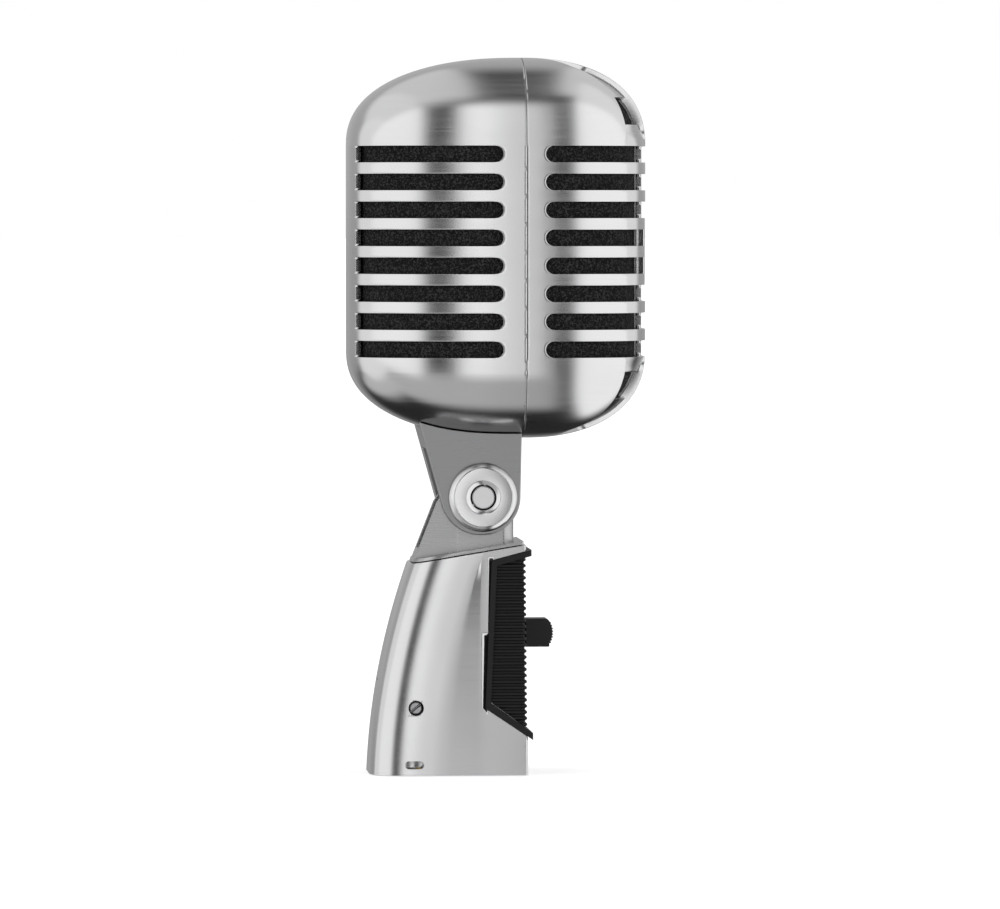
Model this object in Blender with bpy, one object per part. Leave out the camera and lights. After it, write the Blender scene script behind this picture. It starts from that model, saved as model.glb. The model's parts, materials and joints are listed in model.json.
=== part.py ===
"""Classic grille-head dynamic microphone on its swivel base, with a slide switch.

Metres, +Z up. The origin is under the middle of the object, on the surface it
stands on. The microphone faces -Y. X runs across it.
"""

import math

import bmesh
import bpy

GAP = 0.0003  # clearance between two pieces that touch
ROUND = 24  # sides of the larger round pieces

# Head: a front and a rear shell, which meet at a seam across the head.
HEAD_HALF_WIDTH = 0.0282
SEAM_Y = -0.0064
SEAM_TO_FRONT = 0.0328
SEAM_TO_REAR = 0.0456
WALL_LOW = 0.111  # the upright wall runs between two domes
WALL_HIGH = 0.165
DOME_HEIGHT = 0.023
FRONT_CORNER = 3.6  # exponents of the rounded outlines: 2 is an ellipse
REAR_CORNER = 3.0
DOME_CORNER_SIDE = 2.6
DOME_CORNER_END = 2.3
SHELL_STEPS = (14, 5)  # round a half turn, and up a dome
LINING_STEPS = (10, 4)
PAST_SEAM = 0.002  # how far a cutting half goes past the seam
FRONT_WALL = (0.0015, 0.0022, 0.0024)  # thickness at the side, the end and the domes
REAR_WALL = (0.0015, 0.0015, 0.002)
FOAM_SIDE_INSET = 0.0022
FOAM_THICKNESS = 0.003

# Slots through the head's wall, the same in both shells.
SLOT_COUNT = 8
SLOT_HEIGHT = 0.0043
SLOT_PITCH = 0.00727
SLOT_MIDDLE = 0.1371
REAR_SLOT_END = -0.0003
FRONT_SLOT_END = -0.0113
SPINE_HALF_WIDTH = 0.0135

# Ribs that run up the front shell's middle, and the sunk shelves beside them.
RIB_EDGES = (0.0042, 0.0068, 0.0108)
SHELF_EDGE = 0.0222
SUNK = 0.001
SUNK_CLEAR = 0.0006  # from the last slot to where the shelves start

# Windows through the shelves, on the upper and the lower dome.
WINDOW_INNER = 0.0112
WINDOW_OUTER = 0.0218
WINDOW_HEIGHTS = ((0.1705, 0.178), (0.098, 0.1055))
WINDOW_FRONT = -0.045
WINDOW_REAR = -0.0255

# The badge on the front shell's face.
BADGE_HALF_WIDTH = 0.0125
BADGE_LOW = 0.1288
BADGE_HIGH = 0.1458
BADGE_SEAT_Y = -0.0379
BADGE_CORNER = 0.003
BADGE_INSET = 0.0001

# Swivel: the yoke under the head turns about the pivot on the base's neck.
PIVOT_Y = 0.0042
PIVOT_Z = 0.0728
YOKE_HALF_WIDTH = 0.0145
YOKE_INNER_HALF_WIDTH = 0.0101
CHEEK_RADIUS = 0.0099
YOKE_SLOT_TOP = 0.0852
NECK_HALF_WIDTH = 0.0088
NECK_RADIUS = 0.0086
BOLT_RADIUS = 0.003
SPIGOT_TOP = 0.094
WIRE_WAY_Y = 0.001
YOKE_SCREW_X = (-0.006, 0.006)
SCREW_HOLE = 0.0016
SHELL_SCREW_PLACE = (0, -0.0105, 0)
NECK_SCREW_X = (-0.005, 0.005)
NECK_SCREW_Y = 0.008
NECK_SCREW_HOLE = 0.0015
WIRE_HOLE = 0.002

# Base: its section shrinks upwards to a sloping top.
BASE_FRONT_LOW = -0.0076
BASE_FRONT_HIGH = -0.0072
BASE_TOP_FRONT = 0.0602
BASE_TOP_REAR = 0.0552
BASE_TOP_REAR_Y = 0.0225
BASE_LOFT_TOP = 0.066
BASE_HALF_WIDTH_LOW = 0.0165
BASE_HALF_WIDTH_HIGH = 0.0145
BASE_REAR = 0.03375
BASE_REAR_LEAN = 0.0396
BASE_REAR_CURVE = 2.787  # per metre
BASE_ROUNDING = 0.018  # how far ahead of the rear the sides start to curve in
BASE_CORNER = 5.0  # exponent of the rounded rear
SIDE_BEND_Y = 0.003
FLANGE_INSET = 0.0006
FLANGE_TOP = 0.0011  # above the sloping top
BASE_LEVELS = 5

# Sockets in the base's underside.
STAND_Y = 0.0026
STAND_RADIUS = 0.0079
STAND_DEPTH = 0.0088
INSERT_WALL = 0.0009
CONNECTOR_Y = 0.0218
CONNECTOR_RADIUS = 0.0094
CONNECTOR_DEPTH = 0.014
CONNECTOR_SCREW = (0.0218, 0.0176)  # Y and Z of the screw that holds the connector
LATCH_WINDOW = ((0.0208, 0.0027), (0.0237, 0.0027), 0.00105)  # its two ends and their radius
CONTACT_CIRCLE = 0.0041
CONTACT_RADIUS = 0.0012
INSERT_TOP = 0.0217

# Switch panel, wrapped over the base's front.
PANEL_SIDE_TOP = (0.0019, 0.0562)
PANEL_SIDE_BOTTOM = (0.0036, 0.0175)
PANEL_FRONT_TOP = 0.0586
PANEL_FRONT_BOTTOM = 0.0100
BEZEL_WIDTH = 0.0014
PANEL_DEPTH = 0.0021
PLATE_BACK = 0.0018
BEZEL_PROUD = 0.0005
BEZEL_LIP = 0.0009  # how much further the rim stands out at the front
RIB_PITCH = 0.0016
RIB_DEPTH = 0.0007
RIB_SKIN = 0.0001
KNOB_LOW = 0.0329
KNOB_HIGH = 0.0403
KNOB_TIP_Y = -0.0152
KNOB_TIP_RADIUS = 0.0085
KNOB_BACK_Y = -0.0078
KNOB_HALF_WIDTH = 0.004
KNOB_TRAVEL = 0.004
STEM_HALF_WIDTH = 0.0023
STEM_LOW = 0.0345
STEM_HIGH = 0.0387
STEM_CLEARANCE = 0.0006
SWITCH_BODY_LOW = (-0.0065, -0.0038, 0.0215)
SWITCH_BODY_HIGH = (0.0065, 0.0026, 0.0467)
SWITCH_SCREW_HEIGHTS = (0.024, 0.045)
SWITCH_SCREW_HOLE = 0.0011

# Capsule: its axis runs front to back. Its heights are measured forwards from its rear.
CAPSULE_Z = 0.139
CAPSULE_REAR_Y = 0.004
CAPSULE_RADIUS = 0.0145

# Transformer on the bracket's foot.
CORE_LOW = (-0.009, 0.005, 0.0962)
CORE_HIGH = (0.009, 0.015, 0.1112)

LOOKS = {
    "satin_metal": ((0.62, 0.62, 0.63), 0.32, 1.0),
    "plain_metal": ((0.55, 0.55, 0.55), 0.4, 1.0),
    "black_plastic": ((0.012, 0.012, 0.013), 0.45, 0.0),
    "foam": ((0.02, 0.02, 0.021), 0.95, 0.0),
    "rubber": ((0.02, 0.02, 0.02), 0.8, 0.0),
    "film": ((0.75, 0.7, 0.55), 0.25, 0.0),
    "copper": ((0.72, 0.3, 0.14), 0.35, 1.0),
    "gold_plate": ((0.85, 0.62, 0.25), 0.25, 1.0),
    "core_steel": ((0.3, 0.3, 0.31), 0.5, 1.0),
}


def clear_scene():
    for obj in list(bpy.data.objects):
        bpy.data.objects.remove(obj)


def look_of(name, look):
    """A material of the piece's own, from the table of looks."""
    colour, roughness, metallic = LOOKS[look]
    material = bpy.data.materials.new(name)
    material.use_nodes = True
    shader = material.node_tree.nodes["Principled BSDF"]
    shader.inputs["Base Color"].default_value = (*colour, 1.0)
    shader.inputs["Roughness"].default_value = roughness
    shader.inputs["Metallic"].default_value = metallic
    return material


def add_piece(shape, name, look=None, place=(0, 0, 0), turn=(0, 0, 0)):
    """Turns a bmesh into an object. A piece with no look is a cutter."""
    bmesh.ops.remove_doubles(shape, verts=shape.verts, dist=1e-7)
    bmesh.ops.recalc_face_normals(shape, faces=shape.faces)
    mesh = bpy.data.meshes.new(name)
    shape.to_mesh(mesh)
    shape.free()
    if look:
        mesh.materials.append(look_of(name, look))
    piece = bpy.data.objects.new(name, mesh)
    bpy.context.scene.collection.objects.link(piece)
    piece.location = place
    piece.rotation_euler = turn
    return piece


def block(name, low, high, look=None):
    """A box between two corners."""
    shape = bmesh.new()
    bmesh.ops.create_cube(shape, size=1)
    size = [b - a for a, b in zip(low, high)]
    bmesh.ops.scale(shape, vec=size, verts=shape.verts)
    return add_piece(shape, name, look, [(a + b) / 2 for a, b in zip(low, high)])


def loft(name, rings, look=None, caps=True):
    """A closed solid through rings of points. It has flat ends, unless each end is one point."""
    shape = bmesh.new()
    rows = [[shape.verts.new(point) for point in ring] for ring in rings]
    for row, above in zip(rows, rows[1:]):
        for i, vertex in enumerate(row):
            j = (i + 1) % len(row)
            shape.faces.new((vertex, row[j], above[j], above[i]))
    if caps:
        shape.faces.new(rows[0])
        shape.faces.new(rows[-1])
    return add_piece(shape, name, look)


def prism(name, outline, axis, low, high, look=None):
    """An outline pushed along an axis. It is (y, z) along X, (x, z) along Y and (x, y) along Z."""
    index = "XYZ".index(axis)
    rings = []
    for depth in (low, high):
        ring = []
        for point in outline:
            corner = list(point)
            corner.insert(index, depth)
            ring.append(corner)
        rings.append(ring)
    return loft(name, rings, look)


def turned(name, profile, look=None, place=(0, 0, 0), turn=(0, 0, 0), sides=16, ring=False):
    """A (radius, height) profile turned about Z. A ring's profile is closed; others get flat ends."""
    shape = bmesh.new()
    angles = [2 * math.pi * i / sides for i in range(sides)]
    rows = []
    for radius, height in profile:
        if radius == 0:
            rows.append([shape.verts.new((0, 0, height))] * sides)
        else:
            circle = [(radius * math.cos(a), radius * math.sin(a), height) for a in angles]
            rows.append([shape.verts.new(point) for point in circle])
    for row, above in zip(rows, rows[1:] + rows[:1] if ring else rows[1:]):
        for i in range(sides):
            j = (i + 1) % sides
            corners = dict.fromkeys((row[i], row[j], above[j], above[i]))
            if len(corners) > 2:
                shape.faces.new(corners)
    for row, (radius, _) in ((rows[0], profile[0]), (rows[-1], profile[-1])):
        if radius > 0 and not ring:
            shape.faces.new(row)
    return add_piece(shape, name, look, place, turn)


def rod(name, radius, low, high, look=None, place=(0, 0, 0), turn=(0, 0, 0), sides=12):
    return turned(name, [(radius, low), (radius, high)], look, place, turn, sides)


def washer(name, inner, outer, low, high, look=None, place=(0, 0, 0), turn=(0, 0, 0), sides=16):
    profile = [(inner, low), (outer, low), (outer, high), (inner, high)]
    return turned(name, profile, look, place, turn, sides, ring=True)


def carve(piece, tool, operation="DIFFERENCE"):
    """Shapes the piece with the tool, and uses the tool up."""
    modifier = piece.modifiers.new("carve", "BOOLEAN")
    modifier.operation = operation
    modifier.object = tool
    graph = bpy.context.evaluated_depsgraph_get()
    shaped = bpy.data.meshes.new_from_object(piece.evaluated_get(graph))
    piece.modifiers.clear()
    piece.data = shaped
    bpy.data.objects.remove(tool)
    return piece


def arc(centre, radius, start, end, steps):
    """Points on an arc, in degrees."""
    points = []
    for i in range(steps + 1):
        angle = math.radians(start + (end - start) * i / steps)
        points.append((centre[0] + radius * math.cos(angle), centre[1] + radius * math.sin(angle)))
    return points


def rounded_power(value, exponent):
    return math.copysign(abs(value) ** (2 / exponent), value)


# The head.


def dome_rises(steps):
    """(wall height, share of a dome) from the lowest point to the highest, closer towards the poles."""
    shares = [math.sin(math.pi / 2 * i / steps) ** (2 / DOME_CORNER_END) for i in range(steps + 1)]
    return [(WALL_LOW, -share) for share in reversed(shares)] + [(WALL_HIGH, share) for share in shares]


def half_head(name, towards, insets=(0, 0, 0), past_seam=0, steps=SHELL_STEPS, look=None):
    """Half of the head's solid, in front of the seam (towards -1) or behind it (towards 1).

    The insets are from the side, from the end and from the domes.
    """
    width = HEAD_HALF_WIDTH - insets[0]
    reach = (SEAM_TO_FRONT if towards < 0 else SEAM_TO_REAR) - insets[1] - GAP / 2
    height = DOME_HEIGHT - insets[2]
    corner = FRONT_CORNER if towards < 0 else REAR_CORNER
    start = SEAM_Y + towards * GAP / 2
    round_steps, dome_steps = steps
    rings = []
    for wall, level in dome_rises(dome_steps):
        ring = []
        for i in range(round_steps + 1):
            angle = math.pi * i / round_steps
            dome = DOME_CORNER_SIDE * math.cos(angle) ** 2 + DOME_CORNER_END * math.sin(angle) ** 2
            scale = max(0, 1 - abs(level) ** dome) ** (1 / dome)
            x = width * scale * rounded_power(math.cos(angle), corner)
            y = reach * scale * rounded_power(math.sin(angle), corner)
            ring.append((x, start + towards * y, wall + height * level))
        if past_seam:
            ring.insert(0, (ring[0][0], start - towards * past_seam, ring[0][2]))
            ring.append((ring[-1][0], start - towards * past_seam, ring[-1][2]))
        rings.append(ring)
    return loft(name, rings, look, caps=False)


def slot_heights():
    first = SLOT_MIDDLE - SLOT_PITCH * (SLOT_COUNT - 1) / 2
    return [first + SLOT_PITCH * i for i in range(SLOT_COUNT)]


def cut_slots(shell, end, towards, inner_x):
    """Cuts the round-ended slots from the end near the seam, round the corner to inner_x."""
    radius = SLOT_HEIGHT / 2
    for height in slot_heights():
        centre = (end + towards * radius, height)
        first, last = (90, 270) if towards > 0 else (90, -90)
        far = centre[0] + towards * HEAD_HALF_WIDTH * 2
        outline = arc(centre, radius, first, last, 4)
        outline += [(far, height - radius), (far, height + radius)]
        for side in (-1, 1):
            carve(shell, prism("slot", outline, "X", side * inner_x, side * HEAD_HALF_WIDTH * 1.2))


def make_rear_shell():
    shell = half_head("rear_shell", 1, look="satin_metal")
    carve(shell, half_head("hollow", 1, REAR_WALL, PAST_SEAM))
    cut_slots(shell, REAR_SLOT_END, 1, SPINE_HALF_WIDTH)
    carve(shell, block("tab", (-0.005, -0.004, 0.089), (0.005, 0.002, 0.0929)), "UNION")
    carve(shell, block("tab_arm", (-0.005, -0.0132, 0.0913), (0.005, -0.003, 0.0929)), "UNION")
    carve(shell, rod("screw_way", SCREW_HOLE, 0.086, 0.096, place=SHELL_SCREW_PLACE))
    carve(shell, block("spigot_way", (-0.0098, -0.0021, 0.085), (0.0098, 0.0153, 0.0975)))
    return shell


def sunk_skin(name, low_x, high_x, low_z, high_z):
    """The outer skin of the front shell between two X values, as a cutter."""
    tool = block(name, (low_x, -0.045, low_z), (high_x, -0.012, high_z))
    return carve(tool, half_head("core", -1, (SUNK,) * 3, PAST_SEAM))


def make_front_shell():
    shell = half_head("front_shell", -1, look="satin_metal")
    carve(shell, half_head("hollow", -1, FRONT_WALL, PAST_SEAM))
    cut_slots(shell, FRONT_SLOT_END, -1, RIB_EDGES[2])
    half = SLOT_HEIGHT / 2
    face = SEAM_Y - SEAM_TO_FRONT
    for height in slot_heights():
        low, high = height - half, height + half
        edge = RIB_EDGES[2] + GAP
        carve(shell, block("rib_face", (-edge, face - 0.002, low), (edge, face + SUNK, high)))
        for side in (-1, 1):
            near, far = sorted((side * RIB_EDGES[0], side * RIB_EDGES[1]))
            carve(shell, block("rib_space", (near, -0.045, low), (far, -0.03, high)))
    slots = slot_heights()
    for low, high in ((slots[-1] + half + SUNK_CLEAR, 0.19), (0.085, slots[0] - half - SUNK_CLEAR)):
        for side in (-1, 1):
            for near, far in ((RIB_EDGES[0], RIB_EDGES[1]), (RIB_EDGES[2], SHELF_EDGE)):
                first, last = sorted((side * near, side * far))
                carve(shell, sunk_skin("sunk", first, last, low, high))
    for low, high in WINDOW_HEIGHTS:
        for side in (-1, 1):
            first, last = sorted((side * WINDOW_INNER, side * WINDOW_OUTER))
            carve(shell, block("window", (first, WINDOW_FRONT, low), (last, WINDOW_REAR, high)))
    carve(shell, badge_outline_prism("badge_seat", GAP, BADGE_SEAT_Y + GAP))
    carve(shell, rod("screw_way", SCREW_HOLE, 0.086, 0.096, place=SHELL_SCREW_PLACE))
    carve(shell, rod("screw_seat", 0.0028, 0.085, 0.0898, place=SHELL_SCREW_PLACE))
    return shell


def badge_outline_prism(name, grow, back, look=None):
    """A round-cornered plaque, from in front of the head's face to its back."""
    corner = BADGE_CORNER + grow
    half = BADGE_HALF_WIDTH + grow - corner
    low = BADGE_LOW - grow + corner
    high = BADGE_HIGH + grow - corner
    outline = arc((half, high), corner, 0, 90, 3) + arc((-half, high), corner, 90, 180, 3)
    outline += arc((-half, low), corner, 180, 270, 3) + arc((half, low), corner, 270, 360, 3)
    return prism(name, outline, "Y", -0.045, back, look)


def make_badge():
    badge = badge_outline_prism("badge", 0, BADGE_SEAT_Y, "satin_metal")
    return carve(badge, half_head("face", -1, (BADGE_INSET, BADGE_INSET, 0), PAST_SEAM), "INTERSECT")


def make_foam(name, towards, inset_end, inset_dome):
    """The windscreen's foam lining inside one shell, open at the seam and underneath."""
    outer = (FOAM_SIDE_INSET, inset_end, inset_dome)
    inner = [inset + FOAM_THICKNESS for inset in outer]
    foam = half_head(name, towards, outer, 0, LINING_STEPS, "foam")
    carve(foam, half_head("hollow", towards, inner, PAST_SEAM, LINING_STEPS))
    return carve(foam, block("clearance", (-0.0125, -0.019, 0.08), (0.0125, 0.0185, 0.099)))


# The capsule and what it hangs on.


def capsule_piece(name, profile, look, ring=False):
    """A piece turned about the capsule's axis, whose heights run forwards from the capsule's rear."""
    place = (0, CAPSULE_REAR_Y, CAPSULE_Z)
    return turned(name, profile, look, place, (math.pi / 2, 0, 0), ring=ring)


def make_capsule():
    radius = CAPSULE_RADIUS
    bore = radius - 0.0012
    seat = bore - GAP
    can = [(0.003, 0), (radius, 0), (radius, 0.026)]
    can += [(bore, 0.026), (bore, 0.0015), (0.003, 0.0015)]
    cap = [(0.009, 0.0263), (radius, 0.0263), (radius, 0.0275), (0.009, 0.0275)]
    film = [(0, 0.0245), (0.006, 0.0233), (seat, 0.0226)]
    film += [(seat, 0.0223), (0.006, 0.023), (0, 0.0242)]
    coil = [(0.0056, 0.015), (0.0062, 0.015), (0.0062, 0.0226), (0.0056, 0.0226)]
    cup = [(seat, 0.0019), (seat, 0.017), (0.0066, 0.017)]
    cup += [(0.0066, 0.0145), (0.0105, 0.0145), (0.0105, 0.0036)]
    magnet = [(0.0095, 0.0039), (0.0095, 0.010)]
    pole = [(0.0052, 0.0103), (0.0052, 0.019)]
    mount = [(radius + GAP, 0.009), (0.0176, 0.009), (0.0176, 0.016), (radius + GAP, 0.016)]
    return [
        capsule_piece("capsule_can", can, "plain_metal", ring=True),
        capsule_piece("capsule_cap", cap, "plain_metal", ring=True),
        capsule_piece("diaphragm", film, "film"),
        capsule_piece("voice_coil", coil, "copper", ring=True),
        capsule_piece("magnet_cup", cup, "core_steel"),
        capsule_piece("magnet", magnet, "core_steel"),
        capsule_piece("pole_piece", pole, "core_steel"),
        capsule_piece("shock_mount", mount, "rubber", ring=True),
    ]


def make_bracket():
    """A band round the shock mount, on a leg and a foot that is screwed to the yoke's spigot."""
    band = [(0.0179, 0.0085), (0.0194, 0.0085), (0.0194, 0.0165), (0.0179, 0.0165)]
    bracket = capsule_piece("capsule_bracket", band, "plain_metal", ring=True)
    carve(bracket, block("leg", (-0.005, -0.0087, 0.0945), (0.005, -0.0069, 0.1205)), "UNION")
    carve(bracket, block("foot", (-0.0095, -0.0087, 0.0943), (0.0095, 0.0155, 0.0959)), "UNION")
    for x in YOKE_SCREW_X:
        carve(bracket, rod("screw_way", SCREW_HOLE, 0.09, 0.099, place=(x, WIRE_WAY_Y, 0)))
    return carve(bracket, rod("wire_way", 0.0019, 0.09, 0.099, place=(0, WIRE_WAY_Y, 0)))


def make_transformer():
    core = block("transformer_core", CORE_LOW, CORE_HIGH, "core_steel")
    low, high = CORE_LOW[2] + 0.0025, CORE_HIGH[2] - 0.0025
    for side in (-1, 1):
        near, far = sorted((side * 0.0025, side * 0.006))
        carve(core, block("window", (near, 0, low), (far, 0.02, high)))
    coil_low, coil_high = (-0.0056, 0.0027, low + 0.0004), (0.0056, 0.0173, high - 0.0004)
    coil = block("transformer_coil", coil_low, coil_high, "copper")
    front, rear = CORE_LOW[1] - GAP, CORE_HIGH[1] + GAP
    leg_space = block("leg_space", (-0.0029, front, 0.09), (0.0029, rear, 0.12))
    return [core, carve(coil, leg_space)]


def make_lead(name, points, radius):
    """A short internal lead along a smooth curve through the points."""
    curve = bpy.data.curves.new(name, "CURVE")
    curve.dimensions = "3D"
    curve.bevel_depth = radius
    curve.bevel_resolution = 2
    curve.use_fill_caps = True
    route = smooth_route(points, 3)
    spline = curve.splines.new("POLY")
    spline.points.add(len(route) - 1)
    for target, point in zip(spline.points, route):
        target.co = (*point, 1)
    curve.materials.append(look_of(name, "rubber"))
    lead = bpy.data.objects.new(name, curve)
    bpy.context.scene.collection.objects.link(lead)
    return lead


def smooth_route(points, steps):
    """Points on the Catmull-Rom curve through the given ones."""
    padded = [points[0], *points, points[-1]]
    route = []
    for a, b, c, d in zip(padded, padded[1:], padded[2:], padded[3:]):
        for i in range(steps):
            t = i / steps
            weights = [-t + 2 * t**2 - t**3, 2 - 5 * t**2 + 3 * t**3]
            weights += [t + 4 * t**2 - 3 * t**3, t**3 - t**2]
            route.append([sum(w * p for w, p in zip(weights, column)) / 2 for column in zip(a, b, c, d)])
    route.append(list(points[-1]))
    return route


# The swivel.


def yoke_outline():
    """The yoke from the side: a round cheek end, a straight rear edge, and a top above the head's skin."""
    outline = []
    for i in range(13):
        turn = 180 + 164 * i / 12
        radius = CHEEK_RADIUS + 0.0009 * max(0, (turn - 270) / 74)
        angle = math.radians(turn)
        outline.append((PIVOT_Y + radius * math.cos(angle), PIVOT_Z + radius * math.sin(angle)))
    return outline + [(0.0219, 0.096), (-0.0062, 0.096)]


def make_yoke():
    yoke = prism("yoke", yoke_outline(), "X", -YOKE_HALF_WIDTH, YOKE_HALF_WIDTH, "satin_metal")
    for towards in (-1, 1):
        carve(yoke, half_head("head_space", towards, (-GAP,) * 3, PAST_SEAM / 2))
    spigot = block("spigot", (-0.0095, -0.0018, 0.0865), (0.0095, 0.015, SPIGOT_TOP))
    carve(yoke, spigot, "UNION")
    inner = YOKE_INNER_HALF_WIDTH
    carve(yoke, block("slot", (-inner, -0.02, 0.05), (inner, 0.03, YOKE_SLOT_TOP)))
    carve(yoke, across_pivot("bolt_way", BOLT_RADIUS + GAP, -0.02, 0.02))
    for x in YOKE_SCREW_X:
        carve(yoke, rod("screw_way", SCREW_HOLE, 0.0868, 0.099, place=(x, WIRE_WAY_Y, 0)))
    return carve(yoke, rod("wire_way", 0.0019, 0.08, 0.099, place=(0, WIRE_WAY_Y, 0)))


def across_pivot(name, radius, low, high, look=None):
    """A rod along X through the pivot."""
    return rod(name, radius, low, high, look, (0, PIVOT_Y, PIVOT_Z), (0, math.pi / 2, 0))


def make_pivot():
    """The bolt, a raised cap on each cheek and a friction washer inside each cheek."""
    face = YOKE_HALF_WIDTH + GAP
    cap = [(0.0034, face), (0.0091, face), (0.0091, face + 0.0014), (0.0085, face + 0.0021)]
    cap += [(0.0076, face + 0.0025), (0.0045, face + 0.0025), (0.0034, face + 0.0021)]
    pieces = [across_pivot("pivot_bolt", BOLT_RADIUS, -face - 0.0021, face + 0.0021, "satin_metal")]
    for side, turn in (("left", -math.pi / 2), ("right", math.pi / 2)):
        place = (0, PIVOT_Y, PIVOT_Z)
        turn = (0, turn, 0)
        pieces.append(turned("pivot_cap_" + side, cap, "satin_metal", place, turn, ROUND, ring=True))
        low, high = NECK_HALF_WIDTH + GAP, YOKE_INNER_HALF_WIDTH - GAP
        inner = BOLT_RADIUS + GAP
        pieces.append(washer("friction_washer_" + side, inner, 0.008, low, high, "rubber", place, turn))
    return pieces


# The base.


def base_outline(height, inset=0, lip=0):
    """The base's section at a height: a flat front, flat sides that bend slightly, and a round rear."""
    share = height / BASE_TOP_FRONT
    width = BASE_HALF_WIDTH_LOW + (BASE_HALF_WIDTH_HIGH - BASE_HALF_WIDTH_LOW) * share - inset
    front = BASE_FRONT_LOW + (BASE_FRONT_HIGH - BASE_FRONT_LOW) * share + inset
    rear = BASE_REAR - BASE_REAR_LEAN * height - BASE_REAR_CURVE * height**2 - inset
    half = [(width - 0.0032, front - lip), (width - 0.0015, front - lip + 0.0005)]
    half += [(width - 0.0009, front + 0.0021), (width - 0.0004, SIDE_BEND_Y)]
    for i in range(6):
        angle = math.pi / 2 * i / 6
        y = rear - BASE_ROUNDING * (1 - rounded_power(math.sin(angle), BASE_CORNER))
        half.append((width * rounded_power(math.cos(angle), BASE_CORNER), y))
    other = [(-x, y) for x, y in reversed(half)]
    return [(x, y, height) for x, y in [*half, (0, rear), *other]]


def base_solid(name, inset=0, low=0.0, lip=0, look=None):
    """The base's solid from a height up to above its sloping top. A lip moves its front forwards."""
    heights = [low + (BASE_LOFT_TOP - low) * i / BASE_LEVELS for i in range(BASE_LEVELS + 1)]
    return loft(name, [base_outline(height, inset, lip) for height in heights], look)


def slope_height(y):
    """The height of the base's sloping top at y."""
    share = (y - BASE_FRONT_HIGH) / (BASE_TOP_REAR_Y - BASE_FRONT_HIGH)
    return BASE_TOP_FRONT + (BASE_TOP_REAR - BASE_TOP_FRONT) * share


def above_slope(name, lift):
    """Everything above the sloping top, raised by lift, as a cutter."""
    return beside_slope(name, lift, 0.1)


def below_slope(name):
    """Everything below the gap over the sloping top, as a cutter."""
    return beside_slope(name, GAP, 0.03)


def beside_slope(name, lift, far):
    """Everything between the sloping top, raised by lift, and a far height."""
    outline = [(-0.05, slope_height(-0.05) + lift), (0.05, slope_height(0.05) + lift)]
    outline += [(0.05, far), (-0.05, far)]
    return prism(name, outline, "X", -0.04, 0.04)


def make_base_shell():
    shell = base_solid("base_shell", look="satin_metal")
    carve(shell, above_slope("top", 0))
    carve(shell, panel_zone("panel_seat", -GAP, PANEL_DEPTH))
    carve(shell, block("switch_space", (-0.0102, -0.012, 0.0145), (0.0102, 0.0032, 0.047)))
    carve(shell, block("wire_space", (-0.0073, 0.002, 0.023), (0.0073, 0.022, 0.046)))
    carve(shell, block("neck_space", (-0.008, -0.0023, 0.0487), (0.008, 0.0133, 0.07)))
    stand = (0, STAND_Y, 0)
    bore = STAND_RADIUS + INSERT_WALL + GAP
    carve(shell, rod("stand_socket", bore, -0.001, STAND_DEPTH + GAP, place=stand, sides=ROUND))
    connector = (0, CONNECTOR_Y, 0)
    carve(shell, rod("connector_socket", CONNECTOR_RADIUS, -0.001, 0.0245, place=connector, sides=ROUND))
    screw_place = (0, *CONNECTOR_SCREW)
    carve(shell, rod("screw_way", 0.00195, 0.005, 0.02, place=screw_place, turn=(0, -math.pi / 2, 0)))
    near, far, radius = LATCH_WINDOW
    window = arc(near, radius, 90, 270, 5) + arc(far, radius, 270, 450, 5)
    carve(shell, prism("latch_window", window, "X", -0.02, -0.006))
    for x in NECK_SCREW_X:
        carve(shell, rod("neck_screw_way", NECK_SCREW_HOLE, 0.044, 0.05, place=(x, NECK_SCREW_Y, 0)))
    return carve(shell, rod("wire_way", WIRE_HOLE, 0.044, 0.05, place=(0, NECK_SCREW_Y, 0)))


def neck_plan():
    """The neck from above: round front corners, flat sides and flanks that narrow to the rear."""
    half = [(0.0058, -0.0044), (0.0078, -0.0036), (NECK_HALF_WIDTH, -0.0018)]
    half += [(NECK_HALF_WIDTH, 0.0105), (0.0072, 0.024)]
    return half + [(-x, y) for x, y in reversed(half)]


def neck_profile():
    """The neck from the side: a round top about the pivot, then down the rear to the shoulder."""
    top = arc((PIVOT_Y, PIVOT_Z), NECK_RADIUS, 180, 30, 10)
    return [(-0.0044, 0.05), *top, (0.0158, 0.0712), (0.0217, 0.0562), (0.0217, 0.05)]


def make_neck():
    neck = prism("neck", neck_profile(), "X", -0.02, 0.02, "satin_metal")
    carve(neck, prism("plan", neck_plan(), "Z", 0.04, 0.09), "INTERSECT")
    carve(neck, below_slope("below"))
    flange = base_solid("flange", FLANGE_INSET, 0.05)
    carve(flange, above_slope("above", FLANGE_TOP))
    carve(flange, below_slope("below"))
    carve(neck, flange, "UNION")
    carve(neck, block("foot", (-0.0077, -0.002, 0.049), (0.0077, 0.013, 0.06)), "UNION")
    carve(neck, block("channel", (-0.0032, 0.0125, 0.059), (0.0032, 0.03, 0.075)))
    carve(neck, across_pivot("bolt_way", BOLT_RADIUS + GAP, -0.02, 0.02))
    for x in NECK_SCREW_X:
        carve(neck, rod("screw_way", NECK_SCREW_HOLE, 0.045, 0.0555, place=(x, NECK_SCREW_Y, 0)))
    carve(neck, rod("wire_way", WIRE_HOLE, 0.045, 0.0665, place=(0, NECK_SCREW_Y, 0)))
    return carve(neck, block("wire_turn", (-0.0016, 0.0083, 0.0605), (0.0016, 0.0138, 0.0664)))


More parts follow.
